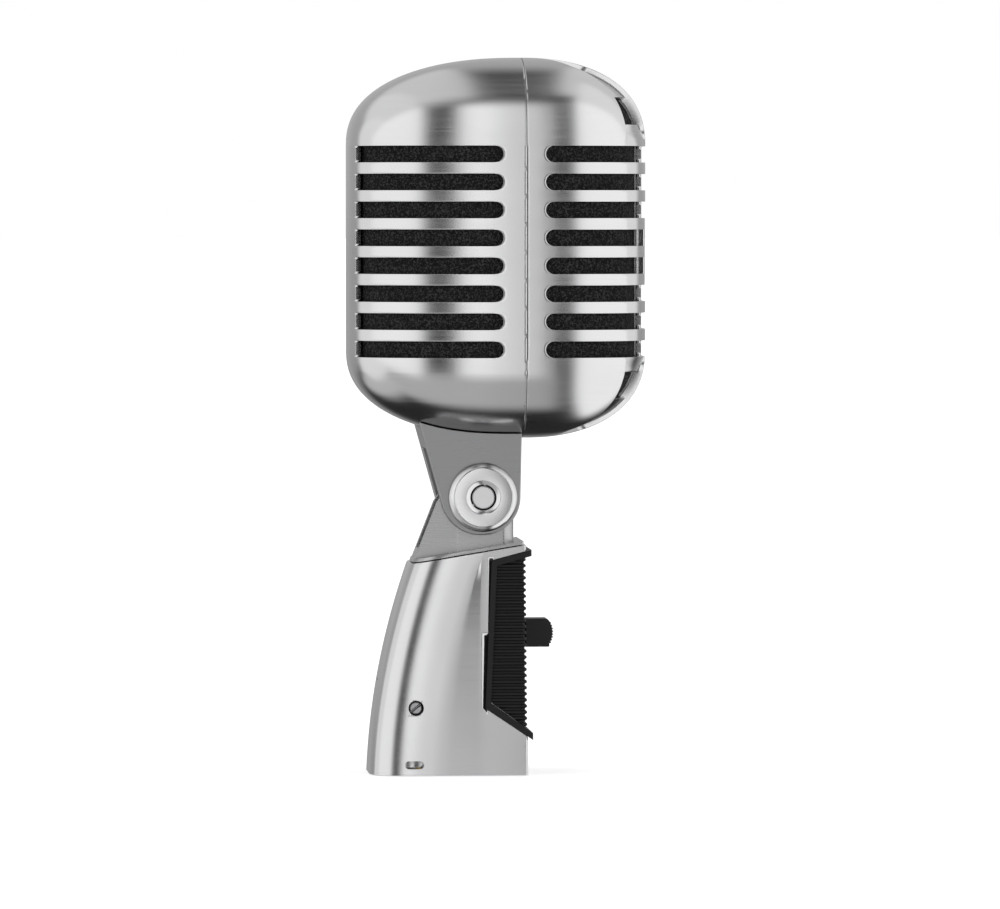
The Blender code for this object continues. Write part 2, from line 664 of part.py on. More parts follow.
def screw(name, sizes, look, place, turn=(0, 0, 0)):
    """A slotted screw along Z. Sizes: the radii of shank and head, the heights of tip, shoulder and top."""
    shank, head, tip, shoulder, top = sizes
    profile = [(shank, tip), (shank, shoulder), (head, shoulder), (head, top)]
    piece = turned(name, profile, look, place, turn, 16)
    half_length, half_width = 1.2 * head, 0.16 * head
    low, high = (-half_length, -half_width, top - 0.35 * head), (half_length, half_width, top + head)
    slot = block("slot", low, high)
    centre = slot.location.copy()
    slot.rotation_euler = turn
    centre.rotate(slot.rotation_euler)
    slot.location = centre + piece.location
    return carve(piece, slot)


def make_sockets():
    """The stand thread's insert, and the connector's insert with its three contacts."""
    stand = (0, STAND_Y, 0)
    outer = STAND_RADIUS + INSERT_WALL
    sizes = (STAND_RADIUS, outer, 0.0002, STAND_DEPTH)
    insert = washer("stand_insert", *sizes, "plain_metal", stand, sides=ROUND)
    connector = (0, CONNECTOR_Y, 0)
    sizes = (CONNECTOR_RADIUS - GAP, CONNECTOR_DEPTH, INSERT_TOP)
    disc = rod("connector_insert", *sizes, "black_plastic", connector, sides=ROUND)
    contacts = []
    for number, angle in enumerate((90, 210, 330), start=1):
        x = CONTACT_CIRCLE * math.cos(math.radians(angle))
        y = CONNECTOR_Y + CONTACT_CIRCLE * math.sin(math.radians(angle))
        carve(disc, rod("contact_way", CONTACT_RADIUS + GAP, 0.01, 0.03, place=(x, y, 0)))
        profile = [(0.0007, 0.003), (CONTACT_RADIUS, 0.0037), (CONTACT_RADIUS, 0.0238)]
        contacts.append(turned(f"contact_{number}", profile, "gold_plate", (x, y, 0), sides=12))
    place = (0, *CONNECTOR_SCREW)
    turn = (0, -math.pi / 2, 0)
    sizes = (0.0012, 0.00165, 0.0095, 0.0125, 0.0148)
    holder = screw("connector_screw", sizes, "plain_metal", place, turn)
    return [insert, disc, *contacts, holder]


# The switch.


def panel_zone(name, inset, depth, proud=0.003, lip=0):
    """The panel's field, from proud of the base's surface down to a depth, as a solid."""
    top_y, top_z = PANEL_SIDE_TOP
    low_y, low_z = PANEL_SIDE_BOTTOM
    reach = -0.02
    lean_top = (PANEL_FRONT_TOP - top_z) / (BASE_FRONT_HIGH - top_y)
    lean_low = (PANEL_FRONT_BOTTOM - low_z) / (BASE_FRONT_LOW - low_y)
    outline = [
        (top_y - inset, top_z - inset),
        (low_y - inset, low_z + inset),
        (reach, low_z + inset + lean_low * (reach - low_y)),
        (reach, top_z - inset + lean_top * (reach - top_y)),
    ]
    zone = prism(name, outline, "X", -0.03, 0.03)
    carve(zone, base_solid("skin", -proud, lip=lip), "INTERSECT")
    return carve(zone, base_solid("core", depth))


def ribbed_skin():
    """The base's solid over the panel's height, with level ribs round it."""
    low_end, high_end = PANEL_SIDE_BOTTOM[1] + 0.0021, PANEL_SIDE_TOP[1] - 0.0021
    rings = [base_outline(0.005, RIB_SKIN), base_outline(low_end, RIB_SKIN)]
    for i in range(int((high_end - low_end) / RIB_PITCH)):
        low = low_end + RIB_PITCH * (i + 0.5)
        high = low_end + RIB_PITCH * (i + 1)
        rings += [base_outline(low, RIB_SKIN), base_outline(low, RIB_DEPTH)]
        rings += [base_outline(high, RIB_DEPTH), base_outline(high, RIB_SKIN)]
    rings.append(base_outline(0.063, RIB_SKIN))
    return loft("ribs", rings)


def make_panel():
    """The rim round the panel, and the ribbed plate inside it."""
    bezel = panel_zone("switch_bezel", 0, PLATE_BACK, BEZEL_PROUD, BEZEL_LIP)
    bezel.data.materials.append(look_of("switch_bezel", "black_plastic"))
    carve(bezel, panel_zone("field", BEZEL_WIDTH, 0.01, 0.005))
    plate = panel_zone("switch_plate", BEZEL_WIDTH + GAP, PLATE_BACK, 0.003)
    plate.data.materials.append(look_of("switch_plate", "black_plastic"))
    carve(plate, ribbed_skin(), "INTERSECT")
    for height in SWITCH_SCREW_HEIGHTS:
        low, high = (-0.002, -0.0062, height - 0.0015), (0.002, -0.0045, height + 0.0015)
        carve(plate, block("boss", low, high), "UNION")
    carve(plate, stem_way("knob_way", -0.02, 0.01))
    forwards = (math.pi / 2, 0, 0)
    for height in SWITCH_SCREW_HEIGHTS:
        place = (0, -0.003, height)
        carve(plate, rod("screw_way", SWITCH_SCREW_HOLE, -0.0003, 0.0033, place=place, turn=forwards))
    return [bezel, plate]


def stem_way(name, front, rear):
    """The space that the knob's stem slides in."""
    half = STEM_HALF_WIDTH + STEM_CLEARANCE
    low = STEM_LOW - KNOB_TRAVEL - STEM_CLEARANCE
    return block(name, (-half, front, low), (half, rear, STEM_HIGH + STEM_CLEARANCE))


def make_switch_body():
    body = block("switch_body", SWITCH_BODY_LOW, SWITCH_BODY_HIGH, "black_plastic")
    carve(body, stem_way("carriage_way", -0.01, -0.0005))
    turn = (-math.pi / 2, 0, 0)
    sizes = (0.0008, 0.0015, -0.0052, 0.0011, 0.0023)
    screws = []
    for name, height in zip(("switch_screw_lower", "switch_screw_upper"), SWITCH_SCREW_HEIGHTS):
        place = (0, 0, height)
        carve(body, rod("screw_way", SWITCH_SCREW_HOLE, -0.02, 0.02, place=place, turn=turn))
        carve(body, rod("screw_seat", 0.0018, 0.0008, 0.02, place=place, turn=turn))
        screws.append(screw(name, sizes, "plain_metal", place, turn))
    return [body, *screws]


def make_knob():
    """The slide switch's knob, with its stem and carriage. It rests at the top of its travel."""
    middle = (KNOB_LOW + KNOB_HIGH) / 2
    shoulder = KNOB_TIP_Y + 0.0014
    tip = arc((KNOB_TIP_Y + KNOB_TIP_RADIUS, middle), KNOB_TIP_RADIUS, 156, 204, 6)
    back = [(KNOB_BACK_Y, KNOB_LOW), (KNOB_BACK_Y, KNOB_HIGH)]
    outline = [(shoulder, KNOB_LOW), *back, (shoulder, KNOB_HIGH), *tip]
    knob = prism("switch_knob", outline, "X", -KNOB_HALF_WIDTH, KNOB_HALF_WIDTH, "black_plastic")
    stem = block("stem", (-STEM_HALF_WIDTH, -0.009, STEM_LOW), (STEM_HALF_WIDTH, -0.0012, STEM_HIGH))
    return carve(knob, stem, "UNION")


def hold(empty_name, place, pieces):
    """Parents the pieces of a moving body to an empty on its joint's axis."""
    empty = bpy.data.objects.new(empty_name, None)
    bpy.context.scene.collection.objects.link(empty)
    empty.location = place
    bpy.context.view_layer.update()
    for piece in pieces:
        piece.parent = empty
        piece.matrix_parent_inverse = empty.matrix_world.inverted()


def make_head():
    metal = "plain_metal"
    pieces = [make_front_shell(), make_rear_shell(), make_badge()]
    pieces += [make_foam("foam_front", -1, 0.0029, 0.0031), make_foam("foam_rear", 1, 0.0022, 0.0027)]
    pieces += make_capsule()
    pieces += [make_bracket(), make_yoke(), *make_transformer(), *make_pivot()]
    for name, x in zip(("yoke_screw_left", "yoke_screw_right"), YOKE_SCREW_X):
        pieces.append(screw(name, (0.0013, 0.0023, 0.0872, 0.0962, 0.098), metal, (x, WIRE_WAY_Y, 0)))
    sizes = (0.0013, 0.0025, -0.0942, -0.0895, -0.0883)
    pieces.append(screw("shell_screw", sizes, metal, SHELL_SCREW_PLACE, (math.pi, 0, 0)))
    route = [(0, 0.0075, 0.137), (0, 0.009, 0.13), (0, 0.006, 0.12), (0, 0.0012, 0.113)]
    route += [(0, WIRE_WAY_Y, 0.1), (0, WIRE_WAY_Y, 0.0865)]
    pieces.append(make_lead("head_lead", route, 0.0012))
    return pieces


def make_base():
    pieces = [make_base_shell(), make_neck(), *make_sockets(), *make_panel(), *make_switch_body()]
    sizes = (0.0012, 0.002, -0.0553, -0.0457, -0.0439)
    for name, x in zip(("neck_screw_left", "neck_screw_right"), NECK_SCREW_X):
        pieces.append(screw(name, sizes, "plain_metal", (x, NECK_SCREW_Y, 0), (math.pi, 0, 0)))
    route = [(0, 0.0185, 0.0275), (0, 0.013, 0.033), (0, 0.0085, 0.04), (0, 0.008, 0.05)]
    route += [(0, 0.0081, 0.0585), (0, 0.0095, 0.0626), (0, 0.0138, 0.0642)]
    pieces.append(make_lead("base_lead", route, 0.0012))
    return pieces


def shade(pieces):
    for piece in pieces:
        if piece.type == "MESH":
            piece.data.shade_smooth()
            piece.data.set_sharp_from_angle(angle=math.radians(35))


def main():
    clear_scene()
    head = make_head()
    base = make_base()
    knob = make_knob()
    hold("head_pivot", (0, PIVOT_Y, PIVOT_Z), head)
    hold("switch_slide_axis", (0, KNOB_TIP_Y, (KNOB_LOW + KNOB_HIGH) / 2), [knob])
    shade([*head, *base, knob])


main()
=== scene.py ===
"""Fine surfaces, materials, camera and light for the slotted-grille microphone.

Metres, +Z up, facing -Y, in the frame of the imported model.
"""

import json
import math
from collections import namedtuple

import bmesh
import bpy
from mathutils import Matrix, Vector, noise


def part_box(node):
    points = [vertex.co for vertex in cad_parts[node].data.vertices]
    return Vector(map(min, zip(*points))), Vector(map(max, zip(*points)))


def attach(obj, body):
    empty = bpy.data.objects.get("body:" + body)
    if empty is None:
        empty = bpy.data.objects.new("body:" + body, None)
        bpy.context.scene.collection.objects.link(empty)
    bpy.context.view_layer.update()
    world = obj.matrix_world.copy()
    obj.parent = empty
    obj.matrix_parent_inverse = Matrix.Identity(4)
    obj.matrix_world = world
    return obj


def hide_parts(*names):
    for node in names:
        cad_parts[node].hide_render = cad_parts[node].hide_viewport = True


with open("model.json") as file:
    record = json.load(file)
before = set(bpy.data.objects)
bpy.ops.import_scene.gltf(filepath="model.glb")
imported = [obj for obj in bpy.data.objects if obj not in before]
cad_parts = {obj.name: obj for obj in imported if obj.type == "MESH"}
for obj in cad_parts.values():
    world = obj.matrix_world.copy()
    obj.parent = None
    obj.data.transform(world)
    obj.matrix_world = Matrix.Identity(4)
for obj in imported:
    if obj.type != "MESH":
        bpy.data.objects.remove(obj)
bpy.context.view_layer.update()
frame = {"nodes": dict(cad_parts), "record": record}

GAP = 0.0003  # clearance between two pieces that touch
FINE_ROUND = 72  # sides of a turned piece
CAD_EDGE = 0.0001  # rounding of the edges of a CAD node that shows

# Head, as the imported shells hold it.
FRONT_LOW, FRONT_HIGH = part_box("front_shell")
REAR_LOW, REAR_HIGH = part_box("rear_shell")
HALF_WIDTH = REAR_HIGH.x
DOME_HEIGHT = 0.023
WALL_LOW = REAR_LOW.z + DOME_HEIGHT
WALL_HIGH = REAR_HIGH.z - DOME_HEIGHT
SEAM_Y = FRONT_HIGH.y + GAP / 2
SEAM_GAP = 0.00014
DOME_POWER_SIDE = 2.6
DOME_POWER_END = 2.3
DOME_ROWS = 34

# A shell: its direction from the seam, the Y of its rim, its reach, the exponent of its plan, and
# how many columns of cells its side wall has between the slots' ends and the middle.
Half = namedtuple("Half", "towards start reach corner columns")
FRONT = Half(-1, SEAM_Y - SEAM_GAP / 2, SEAM_Y - SEAM_GAP / 2 - FRONT_LOW.y, 3.1, 26)
REAR = Half(1, SEAM_Y + SEAM_GAP / 2, REAR_HIGH.y - SEAM_Y - SEAM_GAP / 2, 3.0, 56)
FRONT_WALL = (0.0015, 0.0022, 0.0024)  # wall thickness at the side, the end and the dome
REAR_WALL = (0.0015, 0.0015, 0.002)
SHELL_EDGE = 0.00028
NEARLY_POLE = 0.9999  # a level so close to a pole that a ring there still has its points
FRONT_FOAM_INSET = (0.0022, 0.0029, 0.0031)
REAR_FOAM_INSET = (0.0022, 0.0022, 0.0027)
FOAM_THICKNESS = 0.003
FOAM_UNEVENNESS = 0.00022
FOAM_DOME_ROWS = 30
FOAM_WALL_ROWS = 90
FOAM_STEPS = 150

# Slots through both shells.
SLOT_COUNT = 8
SLOT_RADIUS = 0.00215
SLOT_PITCH = 0.00727
SLOT_MIDDLE = 0.1371
REAR_SLOT_END = -0.0003
FRONT_SLOT_END = -0.0113
SLOT_SHARES = (0, 0.08, 0.3, 0.55, 0.8, 1)  # columns between the seam and a slot's end
SPINE_HALF_WIDTH = 0.0135

# Front shell: upright ribs in the middle, and sunk shelves beside them on the domes.
RIB_EDGES = (0.0042, 0.0068, 0.0108)
SHELF_EDGE = 0.0222
RAMP = 0.0003
RIB_FOOT = RIB_EDGES[2] + RAMP
RIB_TAPER_WIDTH = 0.0167  # where the head is narrower than this, the ribs narrow too
SUNK = 0.001
SHELF_FADE = (0.003, 0.0055)  # the shelves sink between these distances from the seam
SILL = 0.0004  # from the shelves' full depth to the windows
WINDOW_EDGES = (RIB_FOOT, SHELF_EDGE - RAMP)
WINDOW_LOW = 0.1705
WINDOW_HIGH = 0.178

# The plaque's seat in the three middle bars.
BADGE_LOW, BADGE_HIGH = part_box("badge")
BADGE_CORNER = 0.003
SEAT_DEPTH = 0.0016
SEAT_HALF_HEIGHT = 1.5 * SLOT_PITCH - SLOT_RADIUS
SEAT_NARROWEST = RIB_FOOT + 0.0001
SEAT_RAMP = 0.0001
PAST_FRONT = -0.045  # Y in front of the whole head

# Swivel.
BOLT_LOW, BOLT_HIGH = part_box("pivot_bolt")
PIVOT_Y = (BOLT_LOW.y + BOLT_HIGH.y) / 2
PIVOT_Z = (BOLT_LOW.z + BOLT_HIGH.z) / 2
BOLT_RADIUS = (BOLT_HIGH.z - BOLT_LOW.z) / 2
YOKE_HALF_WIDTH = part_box("yoke")[1].x
YOKE_INNER_HALF_WIDTH = YOKE_HALF_WIDTH - 0.0044
CHEEK_RADIUS = 0.0099
CHEEK_TURN = 164  # degrees of its round end, from the front
CHEEK_GROWTH = 0.0009  # of its radius, from the lowest point to the rear
YOKE_SLOT_TOP = 0.0852
NECK_HALF_WIDTH = 0.0088
NECK_RADIUS = 0.0086

# Base: its section shrinks upwards to a sloping top.
BASE_FRONT_LOW = -0.0076
BASE_FRONT_HIGH = -0.0072
BASE_TOP_FRONT = 0.0602
BASE_TOP_REAR = 0.0552
BASE_TOP_REAR_Y = 0.0225
BASE_HALF_WIDTH_LOW = 0.0165
BASE_HALF_WIDTH_HIGH = 0.0145
BASE_REAR = 0.03375
BASE_REAR_LEAN = 0.0396
BASE_REAR_CURVE = 2.787  # per metre
BASE_ROUNDING = 0.018  # how far ahead of the rear the sides start to curve in
BASE_CORNER = 5.0  # exponent of the rounded rear
BASE_REAR_STEPS = 40
SIDE_BEND_Y = 0.0046
FRONT_CORNER_RADIUS = 0.0006
CORNER_SLOPE = 0.0003  # how much narrower the sides are at the front corner
BEND_SLOPE = 0.00017  # and at their soft bend
FLANGE_INSET = 0.0006
FLANGE_TOP = 0.0011

# Sockets in the underside.
STAND_Y = 0.0026
STAND_RADIUS = 0.0079
STAND_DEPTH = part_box("stand_insert")[1].z
CONNECTOR_Y = 0.0218
CONNECTOR_RADIUS = 0.0094
CONNECTOR_SCREW = (0.0218, 0.0176)  # Y and Z
SCREW_HEAD = 0.001
SCREW_SLOT_TURN = -38  # degrees
# Its slot's section: the share of the head's radius across, and the depth.
SCREW_SLOT = ((-0.3, -0.0004), (0.3, -0.0004), (0.03, 0.0008), (-0.03, 0.0008))
LATCH_WINDOW = ((0.0208, 0.0027), (0.0237, 0.0027), 0.00105)  # its two ends and their radius

# Switch panel.
PANEL_SIDE_TOP = (0.0019, 0.0562)
PANEL_SIDE_BOTTOM = (0.0036, 0.0175)
PANEL_FRONT_TOP = 0.0586
PANEL_FRONT_BOTTOM = 0.0100
BEZEL_WIDTH = 0.0014
BEZEL_PROUD = 0.0005
BEZEL_LIP = 0.0009
PANEL_DEPTH = 0.0021
PANEL_GAP = 0.00008
PLATE_BACK = 0.0018
RIB_PITCH = 0.0016
RIB_DEPTH = 0.0005
KNOB_LOW, KNOB_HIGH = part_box("switch_knob")
KNOB_TEETH = 9
KNOB_TOOTH_STEPS = 8
KNOB_TOOTH_DEPTH = 0.00042
KNOB_TIP_RADIUS = 0.0060
KNOB_TIP_TURN = 68  # degrees of the tip's arc
KNOB_TOP_CORNER = 0.0008
KNOB_LOW_CORNER = 0.0003
KNOB_BACK_Y = -0.0078
STEM_LOW = (-0.0023, -0.009, 0.0345)
STEM_HIGH = (0.0023, KNOB_HIGH.y, 0.0387)
STEM_WAY_LOW = (-0.0029, -0.02, 0.0299)
STEM_WAY_HIGH = (0.0029, 0.01, 0.0393)
SWITCH_SCREW_HEIGHTS = (0.024, 0.045)

# Widths of rounded edges.
YOKE_EDGE = 0.0004
BASE_EDGE = 0.00035
NECK_EDGE = 0.00025
FLANGE_EDGE = 0.0002
RIM_EDGE = 0.00025
KNOB_EDGE = 0.00015

# Spaces cut for what is inside, each as two opposite corners.
CAPSULE_SPACE = ((-0.0125, -0.019, 0.08), (0.0125, 0.0185, 0.099))
SWITCH_SPACE = ((-0.0102, -0.012, 0.0145), (0.0102, 0.0032, 0.047))
NECK_SPACE = ((-0.008, -0.0023, 0.0487), (0.008, 0.0133, 0.07))
NECK_CHANNEL = ((-0.005, 0.0125, 0.059), (0.005, 0.03, 0.075))
SCREW_WAY = [(0.00195, 0.005), (0.00195, 0.0153), (0.0026, 0.02)]  # (radius, depth from the middle)

# Camera: degrees round the object and up, and metres.
CAMERA_AZIMUTH = 266
CAMERA_ELEVATION = 1.9
CAMERA_DISTANCE = 2.0
CAMERA_AIM = (0, -0.0013, 0.0835)
CAMERA_LENS = 273  # millimetres


# Meshes.


def add_tool(shape, material):
    """Turns a bmesh into an object with a material."""
    bmesh.ops.remove_doubles(shape, verts=shape.verts, dist=1e-6)
    bmesh.ops.recalc_face_normals(shape, faces=shape.faces)
    mesh = bpy.data.meshes.new("tool")
    shape.to_mesh(mesh)
    shape.free()
    mesh.materials.append(material)
    tool = bpy.data.objects.new("tool", mesh)
    bpy.context.scene.collection.objects.link(tool)
    return tool


def register(piece, name, body, slot, *hides):
    """Makes an object a piece that rides on a body and stands for some CAD nodes."""
    piece.name = name
    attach(piece, body)
    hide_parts(*hides)
    return piece


def add_piece(shape, material, name, body, slot, *hides):
    return register(add_tool(shape, material), name, body, slot, *hides)


def grid_faces(shape, rows, closed=True):
    """Quads between rows of points."""
    made = [[shape.verts.new(point) for point in row] for row in rows]
    for row, above in zip(made, made[1:]):
        for i in range(len(row) - (0 if closed else 1)):
            j = (i + 1) % len(row)
            shape.faces.new((row[i], row[j], above[j], above[i]))
    return made


def loft(rings):
    """A closed solid through rings of points."""
    shape = bmesh.new()
    made = grid_faces(shape, rings)
    shape.faces.new(made[0])
    shape.faces.new(made[-1])
    return shape


def prism(outline, axis, low, high):
    """An outline pushed along an axis: (y, z) along X, (x, z) along Y, (x, y) along Z."""
    index = "XYZ".index(axis)
    rings = []
    for depth in (low, high):
        rings.append([[*point[:index], depth, *point[index:]] for point in outline])
    return loft(rings)


def turned(profile, sides=FINE_ROUND, ring=False):
    """A (radius, height) profile turned about Z."""
    shape = bmesh.new()
    angles = [math.tau * i / sides for i in range(sides)]
    rows = [[(r * math.cos(a), r * math.sin(a), z) for a in angles] for r, z in profile]
    if ring:
        rows.append(rows[0])
    made = grid_faces(shape, rows)
    if not ring:
        shape.faces.new(made[0])
        shape.faces.new(made[-1])
    return shape


def placed(shape, place, turn=None):
    """The shape turned to a direction for its own +Z, then moved."""
    if turn:
        matrix = Vector((0, 0, 1)).rotation_difference(Vector(turn)).to_matrix().to_4x4()
        bmesh.ops.transform(shape, matrix=matrix, verts=shape.verts)
    bmesh.ops.translate(shape, vec=place, verts=shape.verts)
    return shape


def apply_modifiers(piece):
    graph = bpy.context.evaluated_depsgraph_get()
    shaped = bpy.data.meshes.new_from_object(piece.evaluated_get(graph))
    piece.modifiers.clear()
    piece.data = shaped


def carve(piece, shape, operation="DIFFERENCE"):
    """Shapes the piece with a bmesh, and uses the bmesh up."""
    return carve_with(piece, add_tool(shape, piece.data.materials[0]), operation)


def carve_with(piece, tool, operation="DIFFERENCE"):
    """Shapes the piece with another object, and uses that object up."""
    modifier = piece.modifiers.new("carve", "BOOLEAN")
    modifier.operation = operation
    modifier.object = tool
    apply_modifiers(piece)
    bpy.data.objects.remove(tool)
    return piece


def soften(piece, width, angle=38, segments=2):
    """Rounds the sharp edges, and shades the rest smooth."""
    bevel = piece.modifiers.new("edges", "BEVEL")
    bevel.width = width
    bevel.segments = segments
    bevel.limit_method = "ANGLE"
    bevel.angle_limit = math.radians(angle)
    bevel.use_clamp_overlap = True
    apply_modifiers(piece)
    return shade(piece)


def shade(piece, sharp=50):
    """Shades the piece smooth apart from its sharp edges."""
    piece.data.shade_smooth()
    piece.data.set_sharp_from_angle(angle=math.radians(sharp))
    weigh = piece.modifiers.new("normals", "WEIGHTED_NORMAL")
    weigh.keep_sharp = True
    apply_modifiers(piece)
    return piece


def arc(centre, radius, start, end, steps):
    """Points on an arc, in degrees."""
    turns = [math.radians(start + (end - start) * i / steps) for i in range(steps + 1)]
    return [(centre[0] + radius * math.cos(a), centre[1] + radius * math.sin(a)) for a in turns]


def signed_power(value, exponent):
    return math.copysign(abs(value) ** exponent, value)


def box_shape(low, high):
    outline = [(low[0], low[1]), (high[0], low[1]), (high[0], high[1]), (low[0], high[1])]
    return prism(outline, "Z", low[2], high[2])


# Head surfaces.

# A row of cells round a shell: its height on the wall (on a dome, that of the wall's edge), its
# share of the way up or down the dome, how far a slot's round end reaches towards the seam at it,
# and whether it lies in a slot.
Row = namedtuple("Row", "wall level bulge in_slot")

# A column of cells up a shell. Its value is a share of the way to a slot's end (kind "slot"), an
# angle round the plan ("wall"), a distance from the middle ("x") or a share of the seat's ramp
# ("seat"). It may lie on a sunk shelf, or on a rib or the spine.
Column = namedtuple("Column", "kind value sunk rib")

# From a cell to each of its neighbours, and the two corners that they share, as (row, column).
NEIGHBOURS = (
    ((0, -1), (0, 0), (1, 0)),
    ((0, 1), (0, 1), (1, 1)),
    ((-1, 0), (0, 0), (0, 1)),
    ((1, 0), (1, 0), (1, 1)),
)


def skin_point(half, angle, row, inset=(0, 0, 0)):
    """A point on the head, at an angle round the plan and a share of the way up a dome."""
    side, end, dome = inset
    power = DOME_POWER_SIDE * math.cos(angle) ** 2 + DOME_POWER_END * math.sin(angle) ** 2
    scale = max(0, 1 - abs(row.level) ** power) ** (1 / power)
    x = (HALF_WIDTH - side) * scale * signed_power(math.cos(angle), 2 / half.corner)
    y = (half.reach - end) * scale * abs(math.sin(angle)) ** (2 / half.corner)
    return Vector((x, half.start + half.towards * y, row.wall + (DOME_HEIGHT - dome) * row.level))


def slot_heights():
    first = SLOT_MIDDLE - SLOT_PITCH * (SLOT_COUNT - 1) / 2
    return [first + SLOT_PITCH * i for i in range(SLOT_COUNT)]


def row_at(height, bulge=0, in_slot=False):
    if height < WALL_LOW:
        return Row(WALL_LOW, (height - WALL_LOW) / DOME_HEIGHT, bulge, in_slot)
    if height > WALL_HIGH:
        return Row(WALL_HIGH, (height - WALL_HIGH) / DOME_HEIGHT, bulge, in_slot)
    return Row(height, 0, bulge, in_slot)


def dome_heights(edge, pole, stops=()):
    """Heights from the last slot's edge to a pole, closer together towards the pole."""
    wall = WALL_HIGH if pole > edge else WALL_LOW
    first = abs(edge - wall) / DOME_HEIGHT if (edge - wall) * (pole - wall) > 0 else 0
    first = 2 / math.pi * math.asin(first ** (DOME_POWER_END / 2))
    heights = []
    for i in range(DOME_ROWS + 1):
        share = first + (1 - first) * i / DOME_ROWS
        level = math.sin(math.pi / 2 * share) ** (2 / DOME_POWER_END)
        heights.append(wall + (pole - wall) * level)
    heights = [h for h in heights if all(abs(h - stop) > 0.0003 for stop in stops)]
    return sorted([*heights, *stops], reverse=pole < edge)


def head_rows(stops):
    """Rows up the head. Inside a slot they follow its round end."""
    slots = slot_heights()
    lowest, highest = slots[0] - SLOT_RADIUS, slots[-1] + SLOT_RADIUS
    mirrored = [WALL_LOW + WALL_HIGH - stop for stop in stops]
    rows = [row_at(h) for h in reversed(dome_heights(lowest, REAR_LOW.z, mirrored)[1:])]
    for number, centre in enumerate(slots):
        rows.append(row_at(centre - SLOT_RADIUS))
        for bulge, rise in arc((0, 0), SLOT_RADIUS, -90, 90, 12):
            rows.append(row_at(centre + rise, bulge, True))
        rows.append(row_at(centre + SLOT_RADIUS))
        if number < SLOT_COUNT - 1:
            bar = SLOT_PITCH - 2 * SLOT_RADIUS
            rows += [row_at(centre + SLOT_RADIUS + bar * share) for share in (0.2, 0.5, 0.8)]
    return rows + [row_at(h) for h in dome_heights(highest, REAR_HIGH.z, stops)[1:]]


def angle_for_depth(half, depth):
    """The plan angle at which the wall is this far from the seam."""
    return math.asin(min(1, depth / half.reach) ** (half.corner / 2))


def angle_for_x(half, x, row):
    """The plan angle at which the skin is this far from the middle."""
    low, high = 0, math.pi / 2
    if skin_point(half, 0, row).x <= x:
        return 0
    for _ in range(26):
        middle = (low + high) / 2
        if skin_point(half, middle, row).x > x:
            low = middle
        else:
            high = middle
    return (low + high) / 2


def even_angles(half, start, end, count):
    """Plan angles between two, at even steps along the wall."""
    row = Row(WALL_LOW, 0, 0, False)
    fine = [start + (end - start) * i / 400 for i in range(401)]
    points = [skin_point(half, angle, row) for angle in fine]
    reached = [0]
    for a, b in zip(points, points[1:]):
        reached.append(reached[-1] + (b - a).length)
    angles = []
    for i in range(1, count):
        target = reached[-1] * i / count
        index = next(k for k, length in enumerate(reached) if length >= target)
        angles.append(fine[index])
    return angles


def spread(low, high, count):
    """Values after low, up to high."""
    return [low + (high - low) * (i + 1) / count for i in range(count)]


def half_columns(half, slot_depth):
    """Columns of one side, from the seam to the middle."""
    columns = [Column("slot", share, False, False) for share in SLOT_SHARES]
    wall = row_at(SLOT_MIDDLE)
    edge = SHELF_EDGE + RAMP if half is FRONT else SPINE_HALF_WIDTH
    start = angle_for_depth(half, slot_depth)
    last = angle_for_x(half, edge, wall)
    angles = even_angles(half, start, last, half.columns)
    columns += [Column("wall", angle, False, False) for angle in angles]
    if half is REAR:
        return columns + [Column("x", x, False, True) for x in [edge, *spread(edge, 0, 9)]]
    outer, near, far = RIB_EDGES[2], RIB_EDGES[1], RIB_EDGES[0]
    columns.append(Column("x", edge, False, False))
    seat = BADGE_HIGH.x + GAP + SEAT_RAMP
    shelf = [SHELF_EDGE, *spread(SHELF_EDGE, seat + RAMP, 11)]
    columns += [Column("x", x, True, False) for x in shelf]
    columns += [Column("seat", 1, True, False), Column("seat", 0, True, False)]
    columns.append(Column("x", outer + RAMP, True, False))
    columns += [Column("x", x, False, True) for x in [outer, *spread(outer, near, 4)]]
    columns += [Column("x", x, True, False) for x in [near - RAMP, *spread(near - RAMP, far + RAMP, 3)]]
    return columns + [Column("x", x, False, True) for x in [far, *spread(far, 0, 5)]]


def seat_edge(height):
    """How far from the middle the round-cornered seat of the plaque reaches at a height."""
    corner = BADGE_CORNER + GAP
    middle = (BADGE_LOW.z + BADGE_HIGH.z) / 2
    half_height = (BADGE_HIGH.z - BADGE_LOW.z) / 2
    beyond = max(0, abs(height - middle) - half_height + BADGE_CORNER)
    if beyond > corner:
        return SEAT_NARROWEST
    return max(SEAT_NARROWEST, BADGE_HIGH.x - BADGE_CORNER + math.sqrt(corner**2 - beyond**2))


def behind_plaque(row):
    """Whether a row lies in the three bars that hold the plaque."""
    margin = -1e-5 if row.in_slot else 1e-5
    return row.level == 0 and abs(row.wall - SLOT_MIDDLE) < SEAT_HALF_HEIGHT + margin


def rib_angle(half, x, row):
    """The plan angle of an edge of the upright ribs, which narrow near the poles."""
    half_width = skin_point(half, 0, row).x
    return angle_for_x(half, x * min(1, half_width / RIB_TAPER_WIDTH), row)


